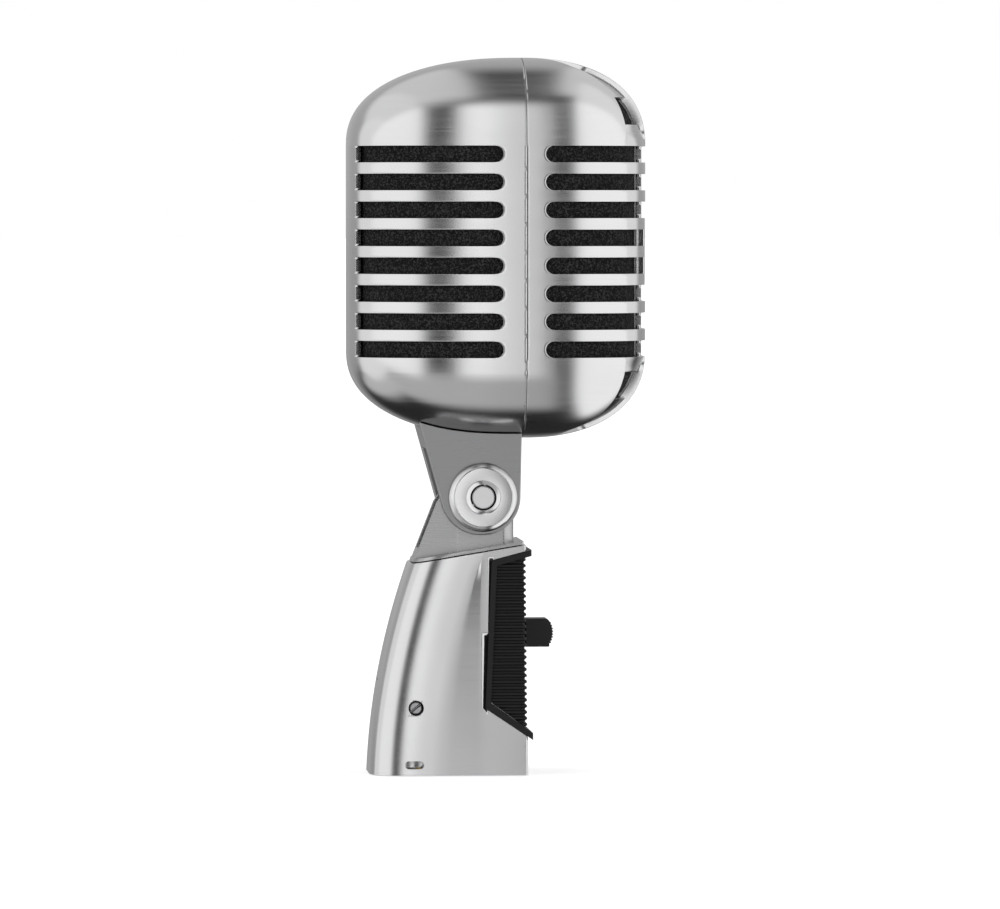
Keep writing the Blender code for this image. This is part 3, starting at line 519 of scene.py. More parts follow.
def column_angle(half, column, row, slot_depth):
    if column.kind == "seat" and behind_plaque(row):
        return angle_for_x(half, seat_edge(row.wall) + column.value * SEAT_RAMP, row)
    wall = row_at(SLOT_MIDDLE)
    if column.kind == "slot":
        angle = angle_for_depth(half, column.value * (slot_depth - column.value * row.bulge))
    elif column.kind == "wall":
        angle = column.value
    elif column.kind == "seat":
        angle = angle_for_x(half, BADGE_HIGH.x + GAP + column.value * SEAT_RAMP, wall)
    elif half is FRONT and column.value <= RIB_FOOT:
        return rib_angle(half, column.value, row)
    else:
        angle = angle_for_x(half, column.value, wall)
    if half is REAR or row.level == 0:
        return angle
    return angle * rib_angle(half, RIB_FOOT, row) / rib_angle(half, RIB_FOOT, wall)


def ease(value, low, high):
    """0 up to low and 1 from high, with a smooth change between them."""
    share = min(1, max(0, (value - low) / (high - low)))
    return share * share * (3 - 2 * share)


def sunk_depth(half, column, row, point):
    """How far the front shell's skin lies behind the head's outline."""
    if half is REAR:
        return 0
    in_seat = column.rib or column.sunk and abs(point.x) < seat_edge(row.wall) + 1e-6
    if behind_plaque(row) and in_seat:
        return SEAT_DEPTH
    if row.in_slot:
        return SUNK if column.rib else 0
    if not column.sunk or row.level == 0:
        return 0
    height = point.z if point.z > SLOT_MIDDLE else WALL_LOW + WALL_HIGH - point.z
    from_wall = ease(height, WALL_HIGH, WINDOW_LOW - SILL)
    from_seam = ease(half.start - point.y, *SHELF_FADE)
    return SUNK * from_wall * from_seam


def in_window(half, columns, i, heights):
    """Whether a cell of a dome lies in one of the front shell's windows."""
    pair = columns[i : i + 2]
    if half is REAR or any(column.kind in ("wall", "slot") for column in pair):
        return False
    span = [BADGE_HIGH.x if column.kind == "seat" else column.value for column in pair]
    low, high = sorted(heights)
    beside = max(span) < WINDOW_EDGES[1] + 1e-6 and min(span) > WINDOW_EDGES[0] - 1e-6
    mirror = WALL_LOW + WALL_HIGH
    tall = low > WINDOW_LOW - 1e-6 and high < WINDOW_HIGH + 1e-6
    deep = low > mirror - WINDOW_HIGH - 1e-6 and high < mirror - WINDOW_LOW + 1e-6
    return beside and (tall or deep)


def shell_points(shape, half, rows, side, wall, slot_depth):
    """Rows of outer points and of inner points, from one side's seam round to the other's."""
    columns = side + side[-2::-1]
    outer, inner = [], []
    for row in rows:
        angles = [column_angle(half, column, row, slot_depth) for column in side]
        angles += [math.pi - angle for angle in angles[-2::-1]]
        out_row, in_row = [], []
        for column, angle in zip(columns, angles):
            skin = skin_point(half, angle, row)
            depth = sunk_depth(half, column, row, skin)
            if depth:
                skin = skin_point(half, angle, row, (depth,) * 3)
            out_row.append(shape.verts.new(skin))
            in_row.append(shape.verts.new(skin_point(half, angle, row, wall)))
        outer.append(out_row)
        inner.append(in_row)
    return outer, inner


def metal_cells(half, rows, columns):
    """The cells that aren't in a slot or a window, as (row, column)."""
    heights = [row.wall + DOME_HEIGHT * row.level for row in rows]
    last = len(columns) - 1
    cells = set()
    for j in range(len(rows) - 1):
        for i in range(last):
            beside_seam = min(i, last - 1 - i) < len(SLOT_SHARES) - 1
            is_slot = rows[j].in_slot or rows[j + 1].in_slot
            rib = columns[i].rib and columns[i + 1].rib
            solid = not is_slot or beside_seam or rib
            if solid and not in_window(half, columns, i, heights[j : j + 2]):
                cells.add((j, i))
    return cells


def shell_shape(half, wall, slot_end):
    """One shell with its slots, as a closed solid of even cells."""
    slot_depth = abs(slot_end - half.start) + SLOT_RADIUS
    rows = head_rows([WINDOW_LOW, WINDOW_HIGH])
    side = half_columns(half, slot_depth)
    shape = bmesh.new()
    outer, inner = shell_points(shape, half, rows, side, wall, slot_depth)
    cells = metal_cells(half, rows, side + side[-2::-1])
    for j, i in sorted(cells):
        shape.faces.new((outer[j][i], outer[j][i + 1], outer[j + 1][i + 1], outer[j + 1][i]))
        shape.faces.new((inner[j][i], inner[j + 1][i], inner[j + 1][i + 1], inner[j][i + 1]))
        for (up, along), (aj, ai), (bj, bi) in NEIGHBOURS:
            past_pole = not 0 <= j + up < len(rows) - 1
            if past_pole or (j + up, i + along) in cells:
                continue
            out_a, out_b = outer[j + aj][i + ai], outer[j + bj][i + bi]
            in_a, in_b = inner[j + aj][i + ai], inner[j + bj][i + bi]
            corners = (out_a, out_b, in_b, in_a)
            if shape.faces.get(corners) is None:
                shape.faces.new(corners)
    return shape


def dome_levels(rows):
    """Levels up a dome, closer together towards the pole."""
    return [math.sin(math.pi / 2 * i / rows) ** (2 / DOME_POWER_END) for i in range(rows + 1)]


def plain_half(half, inset, past_seam=0.0, rows=24, steps=64):
    """Half of the head as a closed solid with no slots, to cut with."""
    rings = []
    levels = dome_levels(rows)
    levels[-1] = NEARLY_POLE
    places = [Row(WALL_LOW, -level, 0, False) for level in reversed(levels)]
    places += [Row(WALL_HIGH, level, 0, False) for level in levels]
    for row in places:
        ring = [skin_point(half, math.pi * i / steps, row, (inset,) * 3) for i in range(steps + 1)]
        if past_seam:
            back = half.start - half.towards * past_seam
            ring = [(ring[0].x, back, ring[0].z), *ring, (ring[-1].x, back, ring[-1].z)]
        rings.append(ring)
    return loft(rings)


def make_shells(metal):
    for half, wall, slot_end, name, cad_name in (
        (FRONT, FRONT_WALL, FRONT_SLOT_END, "grille_front", "front_shell"),
        (REAR, REAR_WALL, REAR_SLOT_END, "grille_rear", "rear_shell"),
    ):
        shape = shell_shape(half, wall, slot_end)
        shell = add_piece(shape, metal, name, "head", "shell_metal", cad_name)
        soften(shell, SHELL_EDGE, 42)


def badge_shape():
    """A round-cornered plaque, from in front of the head's face to its back."""
    right, left = BADGE_HIGH.x - BADGE_CORNER, BADGE_LOW.x + BADGE_CORNER
    top, bottom = BADGE_HIGH.z - BADGE_CORNER, BADGE_LOW.z + BADGE_CORNER
    outline = []
    for i, centre in enumerate(((right, top), (left, top), (left, bottom), (right, bottom))):
        outline += arc(centre, BADGE_CORNER, 90 * i, 90 * i + 90, 8)
    return prism(outline, "Y", PAST_FRONT, BADGE_HIGH.y)


def make_badge(metal):
    """A blank plaque that follows the head's face."""
    badge = add_piece(badge_shape(), metal, "face_plaque", "head", "shell_metal", "badge")
    carve(badge, plain_half(FRONT, 0.0001, 0.002), "INTERSECT")
    soften(badge, 0.0003, 40)


def foam_shape(half, inset):
    """An open-celled foam lining with an uneven surface."""
    levels = dome_levels(FOAM_DOME_ROWS)
    places = [Row(WALL_LOW, -level, 0, False) for level in reversed(levels)]
    for i in range(FOAM_WALL_ROWS - 1):
        height = WALL_LOW + (WALL_HIGH - WALL_LOW) * (i + 1) / FOAM_WALL_ROWS
        places.append(Row(height, 0, 0, False))
    places += [Row(WALL_HIGH, level, 0, False) for level in levels]
    shape = bmesh.new()
    skins = []
    for deep in (0, FOAM_THICKNESS):
        rings = []
        for row in places:
            ring = []
            for i in range(FOAM_STEPS + 1):
                angle = math.pi * i / FOAM_STEPS
                point = skin_point(half, angle, row, tuple(value + deep for value in inset))
                grain = noise.noise(point * 1400) + 0.6 * noise.noise(point * 3000)
                rough = [value + deep + FOAM_UNEVENNESS * grain for value in inset]
                ring.append(skin_point(half, angle, row, rough))
            rings.append(ring)
        skins.append(grid_faces(shape, rings, closed=False))
    outer, inner = skins
    for k in range(len(places) - 1):
        for i in (0, FOAM_STEPS):
            shape.faces.new((outer[k][i], outer[k + 1][i], inner[k + 1][i], inner[k][i]))
    return shape


def make_foams(foam):
    for half, inset, name, cad_name in (
        (FRONT, FRONT_FOAM_INSET, "windscreen_front", "foam_front"),
        (REAR, REAR_FOAM_INSET, "windscreen_rear", "foam_rear"),
    ):
        piece = add_piece(foam_shape(half, inset), foam, name, "head", "foam", cad_name)
        carve(piece, box_shape(*CAPSULE_SPACE))
        piece.data.shade_smooth()


# Swivel.


def yoke_outline():
    """The yoke from the side: a round end, a straight rear edge, and a top inside the head."""
    outline = []
    for i in range(49):
        turn = 180 + CHEEK_TURN * i / 48
        radius = CHEEK_RADIUS + CHEEK_GROWTH * max(0, (turn - 270) / (CHEEK_TURN - 90))
        outline += arc((PIVOT_Y, PIVOT_Z), radius, turn, turn, 1)[:1]
    return outline + [(0.0219, 0.096), (-0.0062, 0.096)]


def make_yoke(metal):
    shape = prism(yoke_outline(), "X", -YOKE_HALF_WIDTH, YOKE_HALF_WIDTH)
    yoke = add_piece(shape, metal, "swivel_yoke", "head", "shell_metal", "yoke")
    inner = YOKE_INNER_HALF_WIDTH
    carve(yoke, box_shape((-inner, -0.02, 0.05), (inner, 0.03, YOKE_SLOT_TOP)))
    carve(yoke, bolt_way())
    soften(yoke, YOKE_EDGE, 50, 3)
    for half in (FRONT, REAR):
        carve(yoke, plain_half(half, -GAP, 0.001))
    shade(yoke, 40)


def across_pivot(profile, towards=1, ring=False):
    """A profile turned about the pivot."""
    return placed(turned(profile, ring=ring), (0, PIVOT_Y, PIVOT_Z), (towards, 0, 0))


def bolt_way():
    """The bolt's hole, from beyond one cheek to beyond the other."""
    return across_pivot([(BOLT_RADIUS + GAP, -0.02), (BOLT_RADIUS + GAP, 0.02)])


def make_pivot(metal):
    """The bolt's flush end and the dished cap on each cheek."""
    face = YOKE_HALF_WIDTH + GAP
    cap = [(0.0034, face), (0.0091, face), (0.0091, face + 0.0004), (0.0090, face + 0.0009)]
    cap += [(0.0087, face + 0.0014), (0.0083, face + 0.0018), (0.0078, face + 0.0021)]
    cap += [(0.0077, face + 0.0024), (0.0075, face + 0.0025), (0.0046, face + 0.0025)]
    cap += [(0.0044, face + 0.00245), (0.0036, face + 0.0021), (0.0034, face + 0.0019)]
    for side, towards in (("left", -1), ("right", 1)):
        shape = across_pivot(cap, towards, True)
        shade(add_piece(shape, metal, "swivel_cap_" + side, "head", "shell_metal", "pivot_cap_" + side), 40)
    end = BOLT_HIGH.x
    bolt = [(BOLT_RADIUS - 0.0003, -end), (BOLT_RADIUS, -end + 0.0003)]
    bolt += [(BOLT_RADIUS, end - 0.0003), (BOLT_RADIUS - 0.0003, end)]
    shade(add_piece(across_pivot(bolt), metal, "swivel_bolt", "head", "shell_metal", "pivot_bolt"), 40)


# Base.


def base_ring(height, inset=0, lip=0):
    """The base's section: a flat front, flat sides with a soft bend, and a rounded rear."""
    share = height / BASE_TOP_FRONT
    width = BASE_HALF_WIDTH_LOW + (BASE_HALF_WIDTH_HIGH - BASE_HALF_WIDTH_LOW) * share - inset
    front = BASE_FRONT_LOW + (BASE_FRONT_HIGH - BASE_FRONT_LOW) * share + inset
    rear = BASE_REAR - BASE_REAR_LEAN * height - BASE_REAR_CURVE * height**2 - inset
    radius = FRONT_CORNER_RADIUS
    corner = (width - CORNER_SLOPE - radius, front - lip + radius)
    half = [(0, front - lip), (0.006, front - lip), *arc(corner, radius, -90, 0, 8)]
    bend = max(SIDE_BEND_Y, corner[1] + 0.001)
    for share in (0.4, 0.7, 0.85, 1):
        slope = CORNER_SLOPE + (BEND_SLOPE - CORNER_SLOPE) * share
        half.append((width - slope, corner[1] + (bend - corner[1]) * share))
    for share in (0.15, 0.4, 0.7):
        half.append((width - BEND_SLOPE * (1 - share), bend + (rear - BASE_ROUNDING - bend) * share))
    for i in range(BASE_REAR_STEPS):
        turn = math.pi / 2 * (i / BASE_REAR_STEPS) ** 1.5
        y = rear - BASE_ROUNDING * (1 - math.sin(turn) ** (2 / BASE_CORNER))
        half.append((width * math.cos(turn) ** (2 / BASE_CORNER), y))
    other = [(-x, y) for x, y in reversed(half[1:])]
    return [(x, y, height) for x, y in [*half, (0, rear), *other]]


def base_shape(inset=0, low=0.0, high=0.066, levels=30, lip=0):
    return loft([base_ring(low + (high - low) * i / levels, inset, lip) for i in range(levels + 1)])


def slope_height(y):
    share = (y - BASE_FRONT_HIGH) / (BASE_TOP_REAR_Y - BASE_FRONT_HIGH)
    return BASE_TOP_FRONT + (BASE_TOP_REAR - BASE_TOP_FRONT) * share


def slope_shape(lift, far):
    """Everything on one side of the sloping top, raised by lift."""
    outline = [(-0.05, slope_height(-0.05) + lift), (0.05, slope_height(0.05) + lift)]
    outline += [(0.05, far), (-0.05, far)]
    return prism(outline, "X", -0.04, 0.04)


def make_base_shell(metal):
    shell = add_piece(base_shape(), metal, "base_housing", "base", "base_metal", "base_shell")
    carve(shell, slope_shape(0, 0.1))
    soften(shell, BASE_EDGE, 42, 3)
    carve_with(shell, panel_zone(-PANEL_GAP, PANEL_DEPTH, 0.003, metal))
    carve(shell, box_shape(*SWITCH_SPACE))
    bore = STAND_RADIUS + 0.0012
    stand = [(bore + 0.0005, -0.001), (bore, 0.0006), (bore, STAND_DEPTH + GAP)]
    carve(shell, placed(turned(stand), (0, STAND_Y, 0)))
    mouth = [(CONNECTOR_RADIUS + 0.0005, -0.001), (CONNECTOR_RADIUS, 0.0004), (CONNECTOR_RADIUS, 0.0245)]
    carve(shell, placed(turned(mouth), (0, CONNECTOR_Y, 0)))
    carve(shell, placed(turned(SCREW_WAY, 40), (0, *CONNECTOR_SCREW), (-1, 0, 0)))
    near, far, radius = LATCH_WINDOW
    window = arc(near, radius, 90, 270, 12) + arc(far, radius, 270, 450, 12)
    carve(shell, prism(window, "X", -0.02, -0.006))
    carve(shell, box_shape(*NECK_SPACE))
    shade(shell, 32)


def make_screw(steel):
    """The slotted screw that holds the connector, set back in its hole."""
    low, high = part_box("connector_screw")
    head = (high.z - low.z) / 2
    back, shoulder, top = -high.x, -low.x - SCREW_HEAD, -low.x
    profile = [(0.6 * head, back), (0.6 * head, shoulder), (head, shoulder)]
    profile += [(head, top - 0.0003), (head - 0.0003, top)]
    shape = placed(turned(profile, 48), (0, *CONNECTOR_SCREW), (-1, 0, 0))
    screw = add_piece(shape, steel, "inlet_screw", "base", "plain_steel", "connector_screw")
    turn = math.radians(SCREW_SLOT_TURN)
    rings = []
    for along in (-1.3, 1.3):
        ring = []
        for across, depth in SCREW_SLOT:
            y = CONNECTOR_SCREW[0] + head * (along * math.cos(turn) - across * math.sin(turn))
            z = CONNECTOR_SCREW[1] + head * (along * math.sin(turn) + across * math.cos(turn))
            ring.append((low.x + depth, y, z))
        rings.append(ring)
    carve(screw, loft(rings))
    shade(screw, 30)


def make_neck(metal):
    """The neck, with a flange on the base's sloping top and a channel up its rear."""
    half = arc((NECK_HALF_WIDTH - 0.003, -0.0014), 0.003, -90, 0, 8)
    half += [(NECK_HALF_WIDTH, 0.0104), (NECK_HALF_WIDTH - 0.00005, 0.0107), (0.0077, 0.024)]
    plan = half + [(-x, y) for x, y in reversed(half)]
    top = arc((PIVOT_Y, PIVOT_Z), NECK_RADIUS, 180, 30, 36)
    profile = [(-0.0044, 0.05), *top, (0.0158, 0.0712), (0.0217, 0.0562), (0.0217, 0.05)]
    neck = add_piece(prism(profile, "X", -0.02, 0.02), metal, "swivel_neck", "base", "base_metal", "neck")
    carve(neck, prism(plan, "Z", 0.04, 0.09), "INTERSECT")
    carve(neck, slope_shape(FLANGE_TOP - 0.0002, 0.03))
    flange = add_tool(base_shape(FLANGE_INSET, 0.05, 0.066, 8), metal)
    carve(flange, slope_shape(FLANGE_TOP, 0.1))
    carve(flange, slope_shape(GAP, 0.03))
    soften(flange, FLANGE_EDGE, 42)
    carve_with(neck, flange, "UNION")
    carve(neck, box_shape(*NECK_CHANNEL))
    carve(neck, bolt_way())
    soften(neck, NECK_EDGE, 42)


# Switch.


def panel_zone(inset, depth, proud, material, lip=0):
    """The panel's field, from proud of the base's surface down to a depth."""
    top_y, top_z = PANEL_SIDE_TOP
    low_y, low_z = PANEL_SIDE_BOTTOM
    reach = -0.02
    lean_top = (PANEL_FRONT_TOP - top_z) / (BASE_FRONT_HIGH - top_y)
    lean_low = (PANEL_FRONT_BOTTOM - low_z) / (BASE_FRONT_LOW - low_y)
    outline = [(top_y - inset, top_z - inset), (low_y - inset, low_z + inset)]
    outline.append((reach, low_z + inset + lean_low * (reach - low_y)))
    outline.append((reach, top_z - inset + lean_top * (reach - top_y)))
    zone = add_tool(prism(outline, "X", -0.03, 0.03), material)
    carve(zone, base_shape(-proud, lip=lip), "INTERSECT")
    return carve(zone, base_shape(depth))


def ribbed_shape():
    """The base's solid over the panel's height, with level ribs round it."""
    low, high = PANEL_SIDE_BOTTOM[1] - 0.0075, PANEL_SIDE_TOP[1] + 0.0035
    steps = 12
    rings = []
    for i in range(int((high - low) / RIB_PITCH) * steps + 1):
        groove = min(1, max(0, 0.5 - 0.85 * math.cos(math.tau * i / steps)))
        rings.append(base_ring(low + RIB_PITCH * i / steps, 0.0001 + RIB_DEPTH * groove))
    return loft(rings)


def make_panel(plastic):
    """The ribbed plate, and the raised rim round it whose ends stand out in front."""
    bezel = panel_zone(0, PLATE_BACK, BEZEL_PROUD, plastic, BEZEL_LIP)
    carve_with(bezel, panel_zone(BEZEL_WIDTH, 0.003, 0.005, plastic))
    register(bezel, "switch_rim", "base", "black_plastic", "switch_bezel")
    soften(bezel, RIM_EDGE, 40)
    plate = panel_zone(BEZEL_WIDTH + GAP / 3, PLATE_BACK, 0.003, plastic)
    carve(plate, ribbed_shape(), "INTERSECT")
    carve(plate, box_shape(STEM_WAY_LOW, STEM_WAY_HIGH))
    for height in SWITCH_SCREW_HEIGHTS:
        hole = turned([(0.0011, -0.01), (0.0011, 0.01)], 24)
        carve(plate, placed(hole, (0, -0.006, height), (0, 1, 0)))
    register(plate, "switch_ribs", "base", "black_plastic", "switch_plate")
    shade(plate)


def make_knob(plastic):
    """The knob: a round-cornered tip with fine teeth across it, on a stem."""
    low, high, tip = KNOB_LOW.z, KNOB_HIGH.z, KNOB_LOW.y
    middle = (low + high) / 2
    teeth = []
    for i in range(KNOB_TEETH * KNOB_TOOTH_STEPS + 1):
        share = i / (KNOB_TEETH * KNOB_TOOTH_STEPS)
        tooth = KNOB_TOOTH_DEPTH * (0.5 - 0.5 * math.cos(math.tau * share * KNOB_TEETH))
        turn = 180 - KNOB_TIP_TURN / 2 + KNOB_TIP_TURN * share
        teeth += arc((tip + KNOB_TIP_RADIUS, middle), KNOB_TIP_RADIUS - tooth, turn, turn, 1)[:1]
    half = (high - low) / 2 - 0.0006
    outline = [(KNOB_BACK_Y, low), (KNOB_BACK_Y, high)]
    outline += arc((tip + 0.0020, high - KNOB_TOP_CORNER), KNOB_TOP_CORNER, 90, 140, 5)
    outline += [point for point in teeth if abs(point[1] - middle) < half]
    outline += arc((tip + 0.0014, low + KNOB_LOW_CORNER), KNOB_LOW_CORNER, 200, 270, 4)
    shape = prism(outline, "X", -KNOB_HIGH.x, KNOB_HIGH.x)
    knob = add_piece(shape, plastic, "slide_knob", "switch", "black_plastic", "switch_knob")
    soften(knob, KNOB_EDGE, 60)
    carve(knob, box_shape(STEM_LOW, STEM_HIGH), "UNION")
    shade(knob)


# Materials.


def node(tree, kind, **inputs):
    made = tree.nodes.new(kind)
    for name, value in inputs.items():
        made.inputs[name.replace("_", " ")].default_value = value
    return made


def object_coordinates(tree, scale):
    """The place on the piece, stretched by a scale along each axis."""
    place = tree.nodes.new("ShaderNodeTexCoord")
    stretch = tree.nodes.new("ShaderNodeMapping")
    stretch.inputs["Scale"].default_value = scale
    tree.links.new(place.outputs["Object"], stretch.inputs["Vector"])
    return stretch.outputs["Vector"]


def noise_value(tree, scale, detail=3.0, roughness=0.5):
    grain = node(tree, "ShaderNodeTexNoise", Scale=1.0, Detail=detail, Roughness=roughness)
    tree.links.new(object_coordinates(tree, scale), grain.inputs["Vector"])
    return grain.outputs["Fac"]


def spread_value(tree, value, low, high, from_low=0.3, from_high=0.7):
    """A value between 0 and 1 spread over another range."""
    ranged = tree.nodes.new("ShaderNodeMapRange")
    ranged.inputs["From Min"].default_value = from_low
    ranged.inputs["From Max"].default_value = from_high
    ranged.inputs["To Min"].default_value = low
    ranged.inputs["To Max"].default_value = high
    tree.links.new(value, ranged.inputs["Value"])
    return ranged.outputs["Result"]


def set_colour(tree, shader, value, dark, light):
    """Colours a surface from dark to light by a value between 0 and 1."""
    ramp = tree.nodes.new("ShaderNodeValToRGB")
    ramp.color_ramp.elements[0].color = (*dark, 1)
    ramp.color_ramp.elements[1].color = (*light, 1)
    ramp.color_ramp.elements[0].position = 0.25
    ramp.color_ramp.elements[1].position = 0.75
    tree.links.new(value, ramp.inputs["Fac"])
    tree.links.new(ramp.outputs["Color"], shader.inputs["Base Color"])


def set_roughness(tree, shader, value, low, high):
    tree.links.new(spread_value(tree, value, low, high), shader.inputs["Roughness"])


def new_material(name, metallic, settings=()):
    material = bpy.data.materials.new(name)
    material.use_nodes = True
    shader = material.node_tree.nodes["Principled BSDF"]
    shader.inputs["Metallic"].default_value = metallic
    for socket, value in settings:
        shader.inputs[socket].default_value = value
    return material, material.node_tree, shader


def add_bump(tree, shader, value, strength, distance):
    bump = node(tree, "ShaderNodeBump", Strength=strength, Distance=distance)
    tree.links.new(value, bump.inputs["Height"])
    tree.links.new(bump.outputs["Normal"], shader.inputs["Normal"])


def brushed_metal(name, dark, light, rough_low, rough_high):
    """Satin metal, brushed level, with faint hand marks."""
    material, tree, shader = new_material(name, 1.0)
    lines = noise_value(tree, (60, 60, 3600), 3.0, 0.55)
    marks = noise_value(tree, (45, 45, 45), 2.0)
    mixed = math_node(tree, "MULTIPLY_ADD", lines, 0.5, spread_value(tree, marks, 0.12, 0.38))
    set_colour(tree, shader, mixed, dark, light)
    set_roughness(tree, shader, mixed, rough_low, rough_high)
    add_bump(tree, shader, lines, 0.05, 0.000008)
    return material


def grained(name, dark, light, roughness, scale, strength, distance, metallic=0.0, settings=()):
    """A moulded, cast or cut surface with an even grain."""
    material, tree, shader = new_material(name, metallic, settings)
    grain = noise_value(tree, (scale,) * 3, 4.0, 0.6)
    set_colour(tree, shader, grain, dark, light)
    set_roughness(tree, shader, grain, roughness - 0.07, roughness + 0.07)
    add_bump(tree, shader, grain, strength, distance)
    return material


def foam_material():
    """Open-celled foam: the cell pits are painted darker than the cell walls as painted shade, broken by
    random specks.
    """
    material, tree, shader = new_material("windscreen_foam", 0.0, [("Specular IOR Level", 0.15)])
    cells = node(tree, "ShaderNodeTexVoronoi", Scale=1.0)
    tree.links.new(object_coordinates(tree, (2500,) * 3), cells.inputs["Vector"])
    depth = cells.outputs["Distance"]
    # Painted shade: the colour darkens with the cells' depth, the value that also bumps the pits in, times
    # random specks.
    pit_shade_specks = math_node(tree, "MULTIPLY", depth, noise_value(tree, (1500,) * 3, 2.0))
    shade = spread_value(tree, pit_shade_specks, 0.0, 1.0, 0.12, 0.5)
    set_colour(tree, shader, shade, (0.006, 0.006, 0.0062), (0.042, 0.042, 0.043))
    set_roughness(tree, shader, depth, 0.8, 0.97)
    add_bump(tree, shader, depth, 0.6, 0.00025)
    return material


def make_materials():
    return {
        "shell_metal": brushed_metal("satin_shell", (0.56, 0.56, 0.565), (0.61, 0.61, 0.615), 0.18, 0.24),
        "base_metal": brushed_metal("satin_base", (0.53, 0.53, 0.535), (0.58, 0.58, 0.585), 0.18, 0.24),
        # Painted shade: the yoke's satin metal is a much darker copy of the shell's, standing in for the
        # shade under the head.
        "shaded_yoke_metal": brushed_metal("satin_yoke_painted_shade", (0.27, 0.27, 0.275), (0.31, 0.31, 0.315), 0.26, 0.34),
        # Painted shade: the neck's satin metal is a darker copy of the base's, standing in for the shade
        # under the yoke and head.
        "shaded_neck_metal": brushed_metal("satin_neck_painted_shade", (0.36, 0.36, 0.365), (0.4, 0.4, 0.405), 0.24, 0.32),
        "plain_steel": grained(
            "screw_steel", (0.36, 0.36, 0.37), (0.5, 0.5, 0.51), 0.38, 2600, 0.15, 0.00003, 1.0
        ),
        "core_steel": grained(
            "core_steel", (0.2, 0.2, 0.21), (0.32, 0.32, 0.33), 0.5, 1800, 0.2, 0.00004, 1.0
        ),
        "copper": grained(
            "copper_wire", (0.55, 0.2, 0.09), (0.78, 0.34, 0.17), 0.35, 4200, 0.3, 0.00006, 1.0
        ),
        "gold_plate": grained(
            "gold_plate", (0.75, 0.5, 0.17), (0.9, 0.68, 0.3), 0.25, 1500, 0.08, 0.00002, 1.0
        ),
        "black_plastic": grained(
            "black_plastic", (0.003,) * 3, (0.006,) * 3, 0.48, 3800, 0.12, 0.00004,
            settings=[("Specular IOR Level", 0.3)],
        ),
        "rubber": grained("rubber", (0.012, 0.012, 0.012), (0.03, 0.03, 0.03), 0.75, 2200, 0.25, 0.00006),
        "film": grained("film", (0.5, 0.44, 0.3), (0.75, 0.68, 0.5), 0.25, 900, 0.05, 0.00002),
        "foam": foam_material(),
    }


def dress_cad_nodes(materials):
    """Gives every CAD node the procedural material of its slot, and small rounded edges."""
    for part in frame["record"]["subparts"]:
        cad = frame["nodes"][part["node"]]
        cad.data.materials.clear()
        cad.data.materials.append(materials[part["material_slot"]])
        cad.modifiers.new("weld", "WELD").merge_threshold = 1e-6
        bevel = cad.modifiers.new("edges", "BEVEL")
        bevel.width = CAD_EDGE
        bevel.limit_method = "ANGLE"
        bevel.angle_limit = math.radians(50)
        cad.modifiers.new("normals", "WEIGHTED_NORMAL").keep_sharp = True


# Camera, floor and light.


def make_camera():
    azimuth, elevation = math.radians(CAMERA_AZIMUTH), math.radians(CAMERA_ELEVATION)
    level = math.cos(elevation)
    back = Vector((math.sin(azimuth) * level, -math.cos(azimuth) * level, math.sin(elevation)))
    data = bpy.data.cameras.new("camera")
    data.lens = CAMERA_LENS
    camera = bpy.data.objects.new("camera", data)
    camera.location = Vector(CAMERA_AIM) + back * CAMERA_DISTANCE
    camera.rotation_euler = (-back).to_track_quat("-Z", "Y").to_euler()
    bpy.context.scene.collection.objects.link(camera)
    bpy.context.scene.camera = camera


def make_floor():
    shape = bmesh.new()
    bmesh.ops.create_circle(shape, cap_ends=True, segments=96, radius=30)
    bmesh.ops.translate(shape, vec=(0, 0, -0.0002), verts=shape.verts)
    material, tree, shader = new_material("floor", 0.0, [("Specular IOR Level", 0.1)])
    shade = noise_value(tree, (3, 3, 3), 2.0)
    set_colour(tree, shader, shade, (0.93, 0.93, 0.93), (0.95, 0.95, 0.95))
    set_roughness(tree, shader, shade, 0.9, 1.0)
    shader.inputs["Emission Color"].default_value = (1, 1, 1, 1)
    shader.inputs["Emission Strength"].default_value = 0.4
    mesh = bpy.data.meshes.new("floor")
    shape.to_mesh(mesh)
    shape.free()
    mesh.materials.append(material)
    floor = bpy.data.objects.new("floor", mesh)
    floor.visible_glossy = False
    bpy.context.scene.collection.objects.link(floor)


def math_node(tree, operation, *values):
    made = tree.nodes.new("ShaderNodeMath")
    made.operation = operation
    for socket, value in zip(made.inputs, values):
        if isinstance(value, (int, float)):
            socket.default_value = value
        else:
            tree.links.new(value, socket)
    return made.outputs[0]


def degrees_of(tree, operation, *values):
    return math_node(tree, "MULTIPLY", math_node(tree, operation, *values), 180 / math.pi)


def step_up(tree, value, edge, soft):
    """0 below an edge and 1 above it, with a soft change."""
    ranged = tree.nodes.new("ShaderNodeMapRange")
    ranged.interpolation_type = "SMOOTHSTEP"
    ranged.inputs["From Min"].default_value = edge - soft
    ranged.inputs["From Max"].default_value = edge + soft
    tree.links.new(value, ranged.inputs["Value"])
    return ranged.outputs["Result"]


def soft_box(tree, values, strength, *bands):
    """A soft light. Each band is (name of an angle, low edge, high edge, softness)."""
    light = None
    for name, low, high, soft in bands:
        band = math_node(
            tree, "SUBTRACT", step_up(tree, values[name], low, soft), step_up(tree, values[name], high, soft)
        )
        light = math_node(tree, "MULTIPLY", band, strength if light is None else light)
    return light


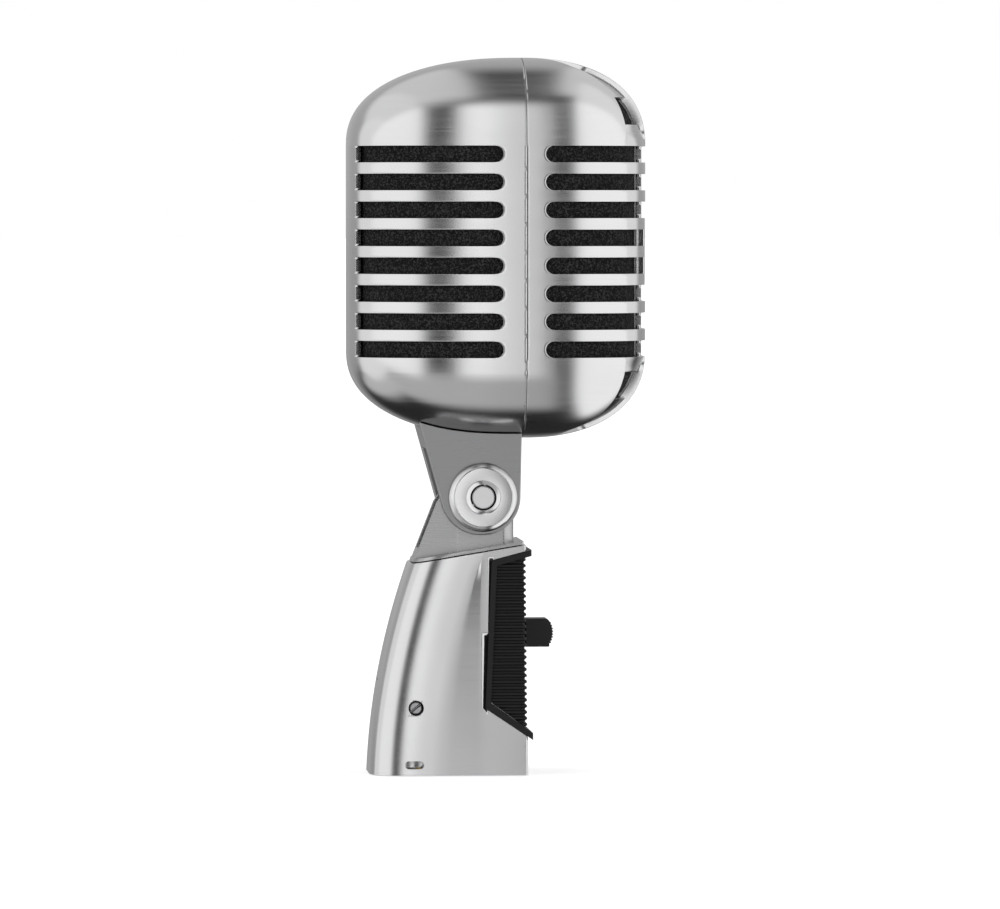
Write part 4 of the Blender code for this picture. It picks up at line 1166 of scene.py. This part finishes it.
def make_light():
    """A white backdrop, and round the object broad soft lights with dark gaps between them.

    Angles are in degrees. Lean is how far a direction leans to the object's rear, and
    over is how far it turns up and over the object, counted from the object's left.
    """
    world = bpy.data.worlds.new("studio")
    world.use_nodes = True
    bpy.context.scene.world = world
    tree = world.node_tree
    place = tree.nodes.new("ShaderNodeTexCoord")
    split = tree.nodes.new("ShaderNodeSeparateXYZ")
    tree.links.new(place.outputs["Generated"], split.inputs["Vector"])
    left = math_node(tree, "MULTIPLY", split.outputs["X"], -1.0)
    values = {
        "lean": degrees_of(tree, "ARCSINE", split.outputs["Y"]),
        "over": degrees_of(tree, "ARCTAN2", split.outputs["Z"], left),
    }
    values["aside"] = math_node(tree, "ABSOLUTE", values["lean"])
    values["around"] = math_node(tree, "ABSOLUTE", values["over"])
    lights = [
        soft_box(tree, values, 1.35, ("lean", 24, 200, 5), ("over", -34, 60, 18)),
        soft_box(tree, values, 1.0, ("lean", 24, 200, 5), ("over", 20, 150, 18)),
        soft_box(tree, values, 1.6, ("lean", -5.2, 7.6, 1.2), ("over", -24, 44, 10)),
        soft_box(tree, values, 1.4, ("lean", -200, -18, 3), ("over", -118, 60, 15)),
        soft_box(tree, values, 1.1, ("lean", -200, -18, 3), ("over", 20, 110, 15)),
        soft_box(tree, values, 0.62, ("lean", -9, 200, 4), ("over", -78, -18, 12)),
        soft_box(tree, values, 0.85, ("lean", 1.8, 200, 2), ("over", 50, 150, 15)),
        soft_box(tree, values, 0.85, ("lean", -200, -9, 3), ("over", 62, 150, 10)),
        soft_box(tree, values, 0.5, ("over", 122, 200, 18)),
        soft_box(tree, values, 0.4, ("around", 160, 200, 12)),
        soft_box(tree, values, 0.7, ("lean", 34, 200, 8), ("over", -150, -50, 10)),
        soft_box(tree, values, 1.1, ("aside", 55, 200, 8)),
    ]
    total = lights[0]
    for light in lights[1:]:
        total = math_node(tree, "MAXIMUM", total, light)
    total = math_node(tree, "ADD", total, 0.03)
    seen = tree.nodes.new("ShaderNodeLightPath")
    strength = tree.nodes.new("ShaderNodeMix")
    strength.data_type = "FLOAT"
    tree.links.new(seen.outputs["Is Camera Ray"], strength.inputs[0])
    tree.links.new(total, strength.inputs[2])
    strength.inputs[3].default_value = 1.0
    tree.links.new(strength.outputs[0], tree.nodes["Background"].inputs["Strength"])
    tree.nodes["Background"].inputs["Color"].default_value = (1, 1, 1, 1)
    bpy.context.scene.view_settings.view_transform = "Standard"


def main():
    make_camera()
    make_floor()
    make_light()
    materials = make_materials()
    dress_cad_nodes(materials)
    make_shells(materials["shell_metal"])
    make_badge(materials["shell_metal"])
    make_foams(materials["foam"])
    make_yoke(materials["shaded_yoke_metal"])
    make_pivot(materials["shell_metal"])
    make_base_shell(materials["base_metal"])
    make_screw(materials["plain_steel"])
    make_neck(materials["shaded_neck_metal"])
    make_panel(materials["black_plastic"])
    make_knob(materials["black_plastic"])


main()
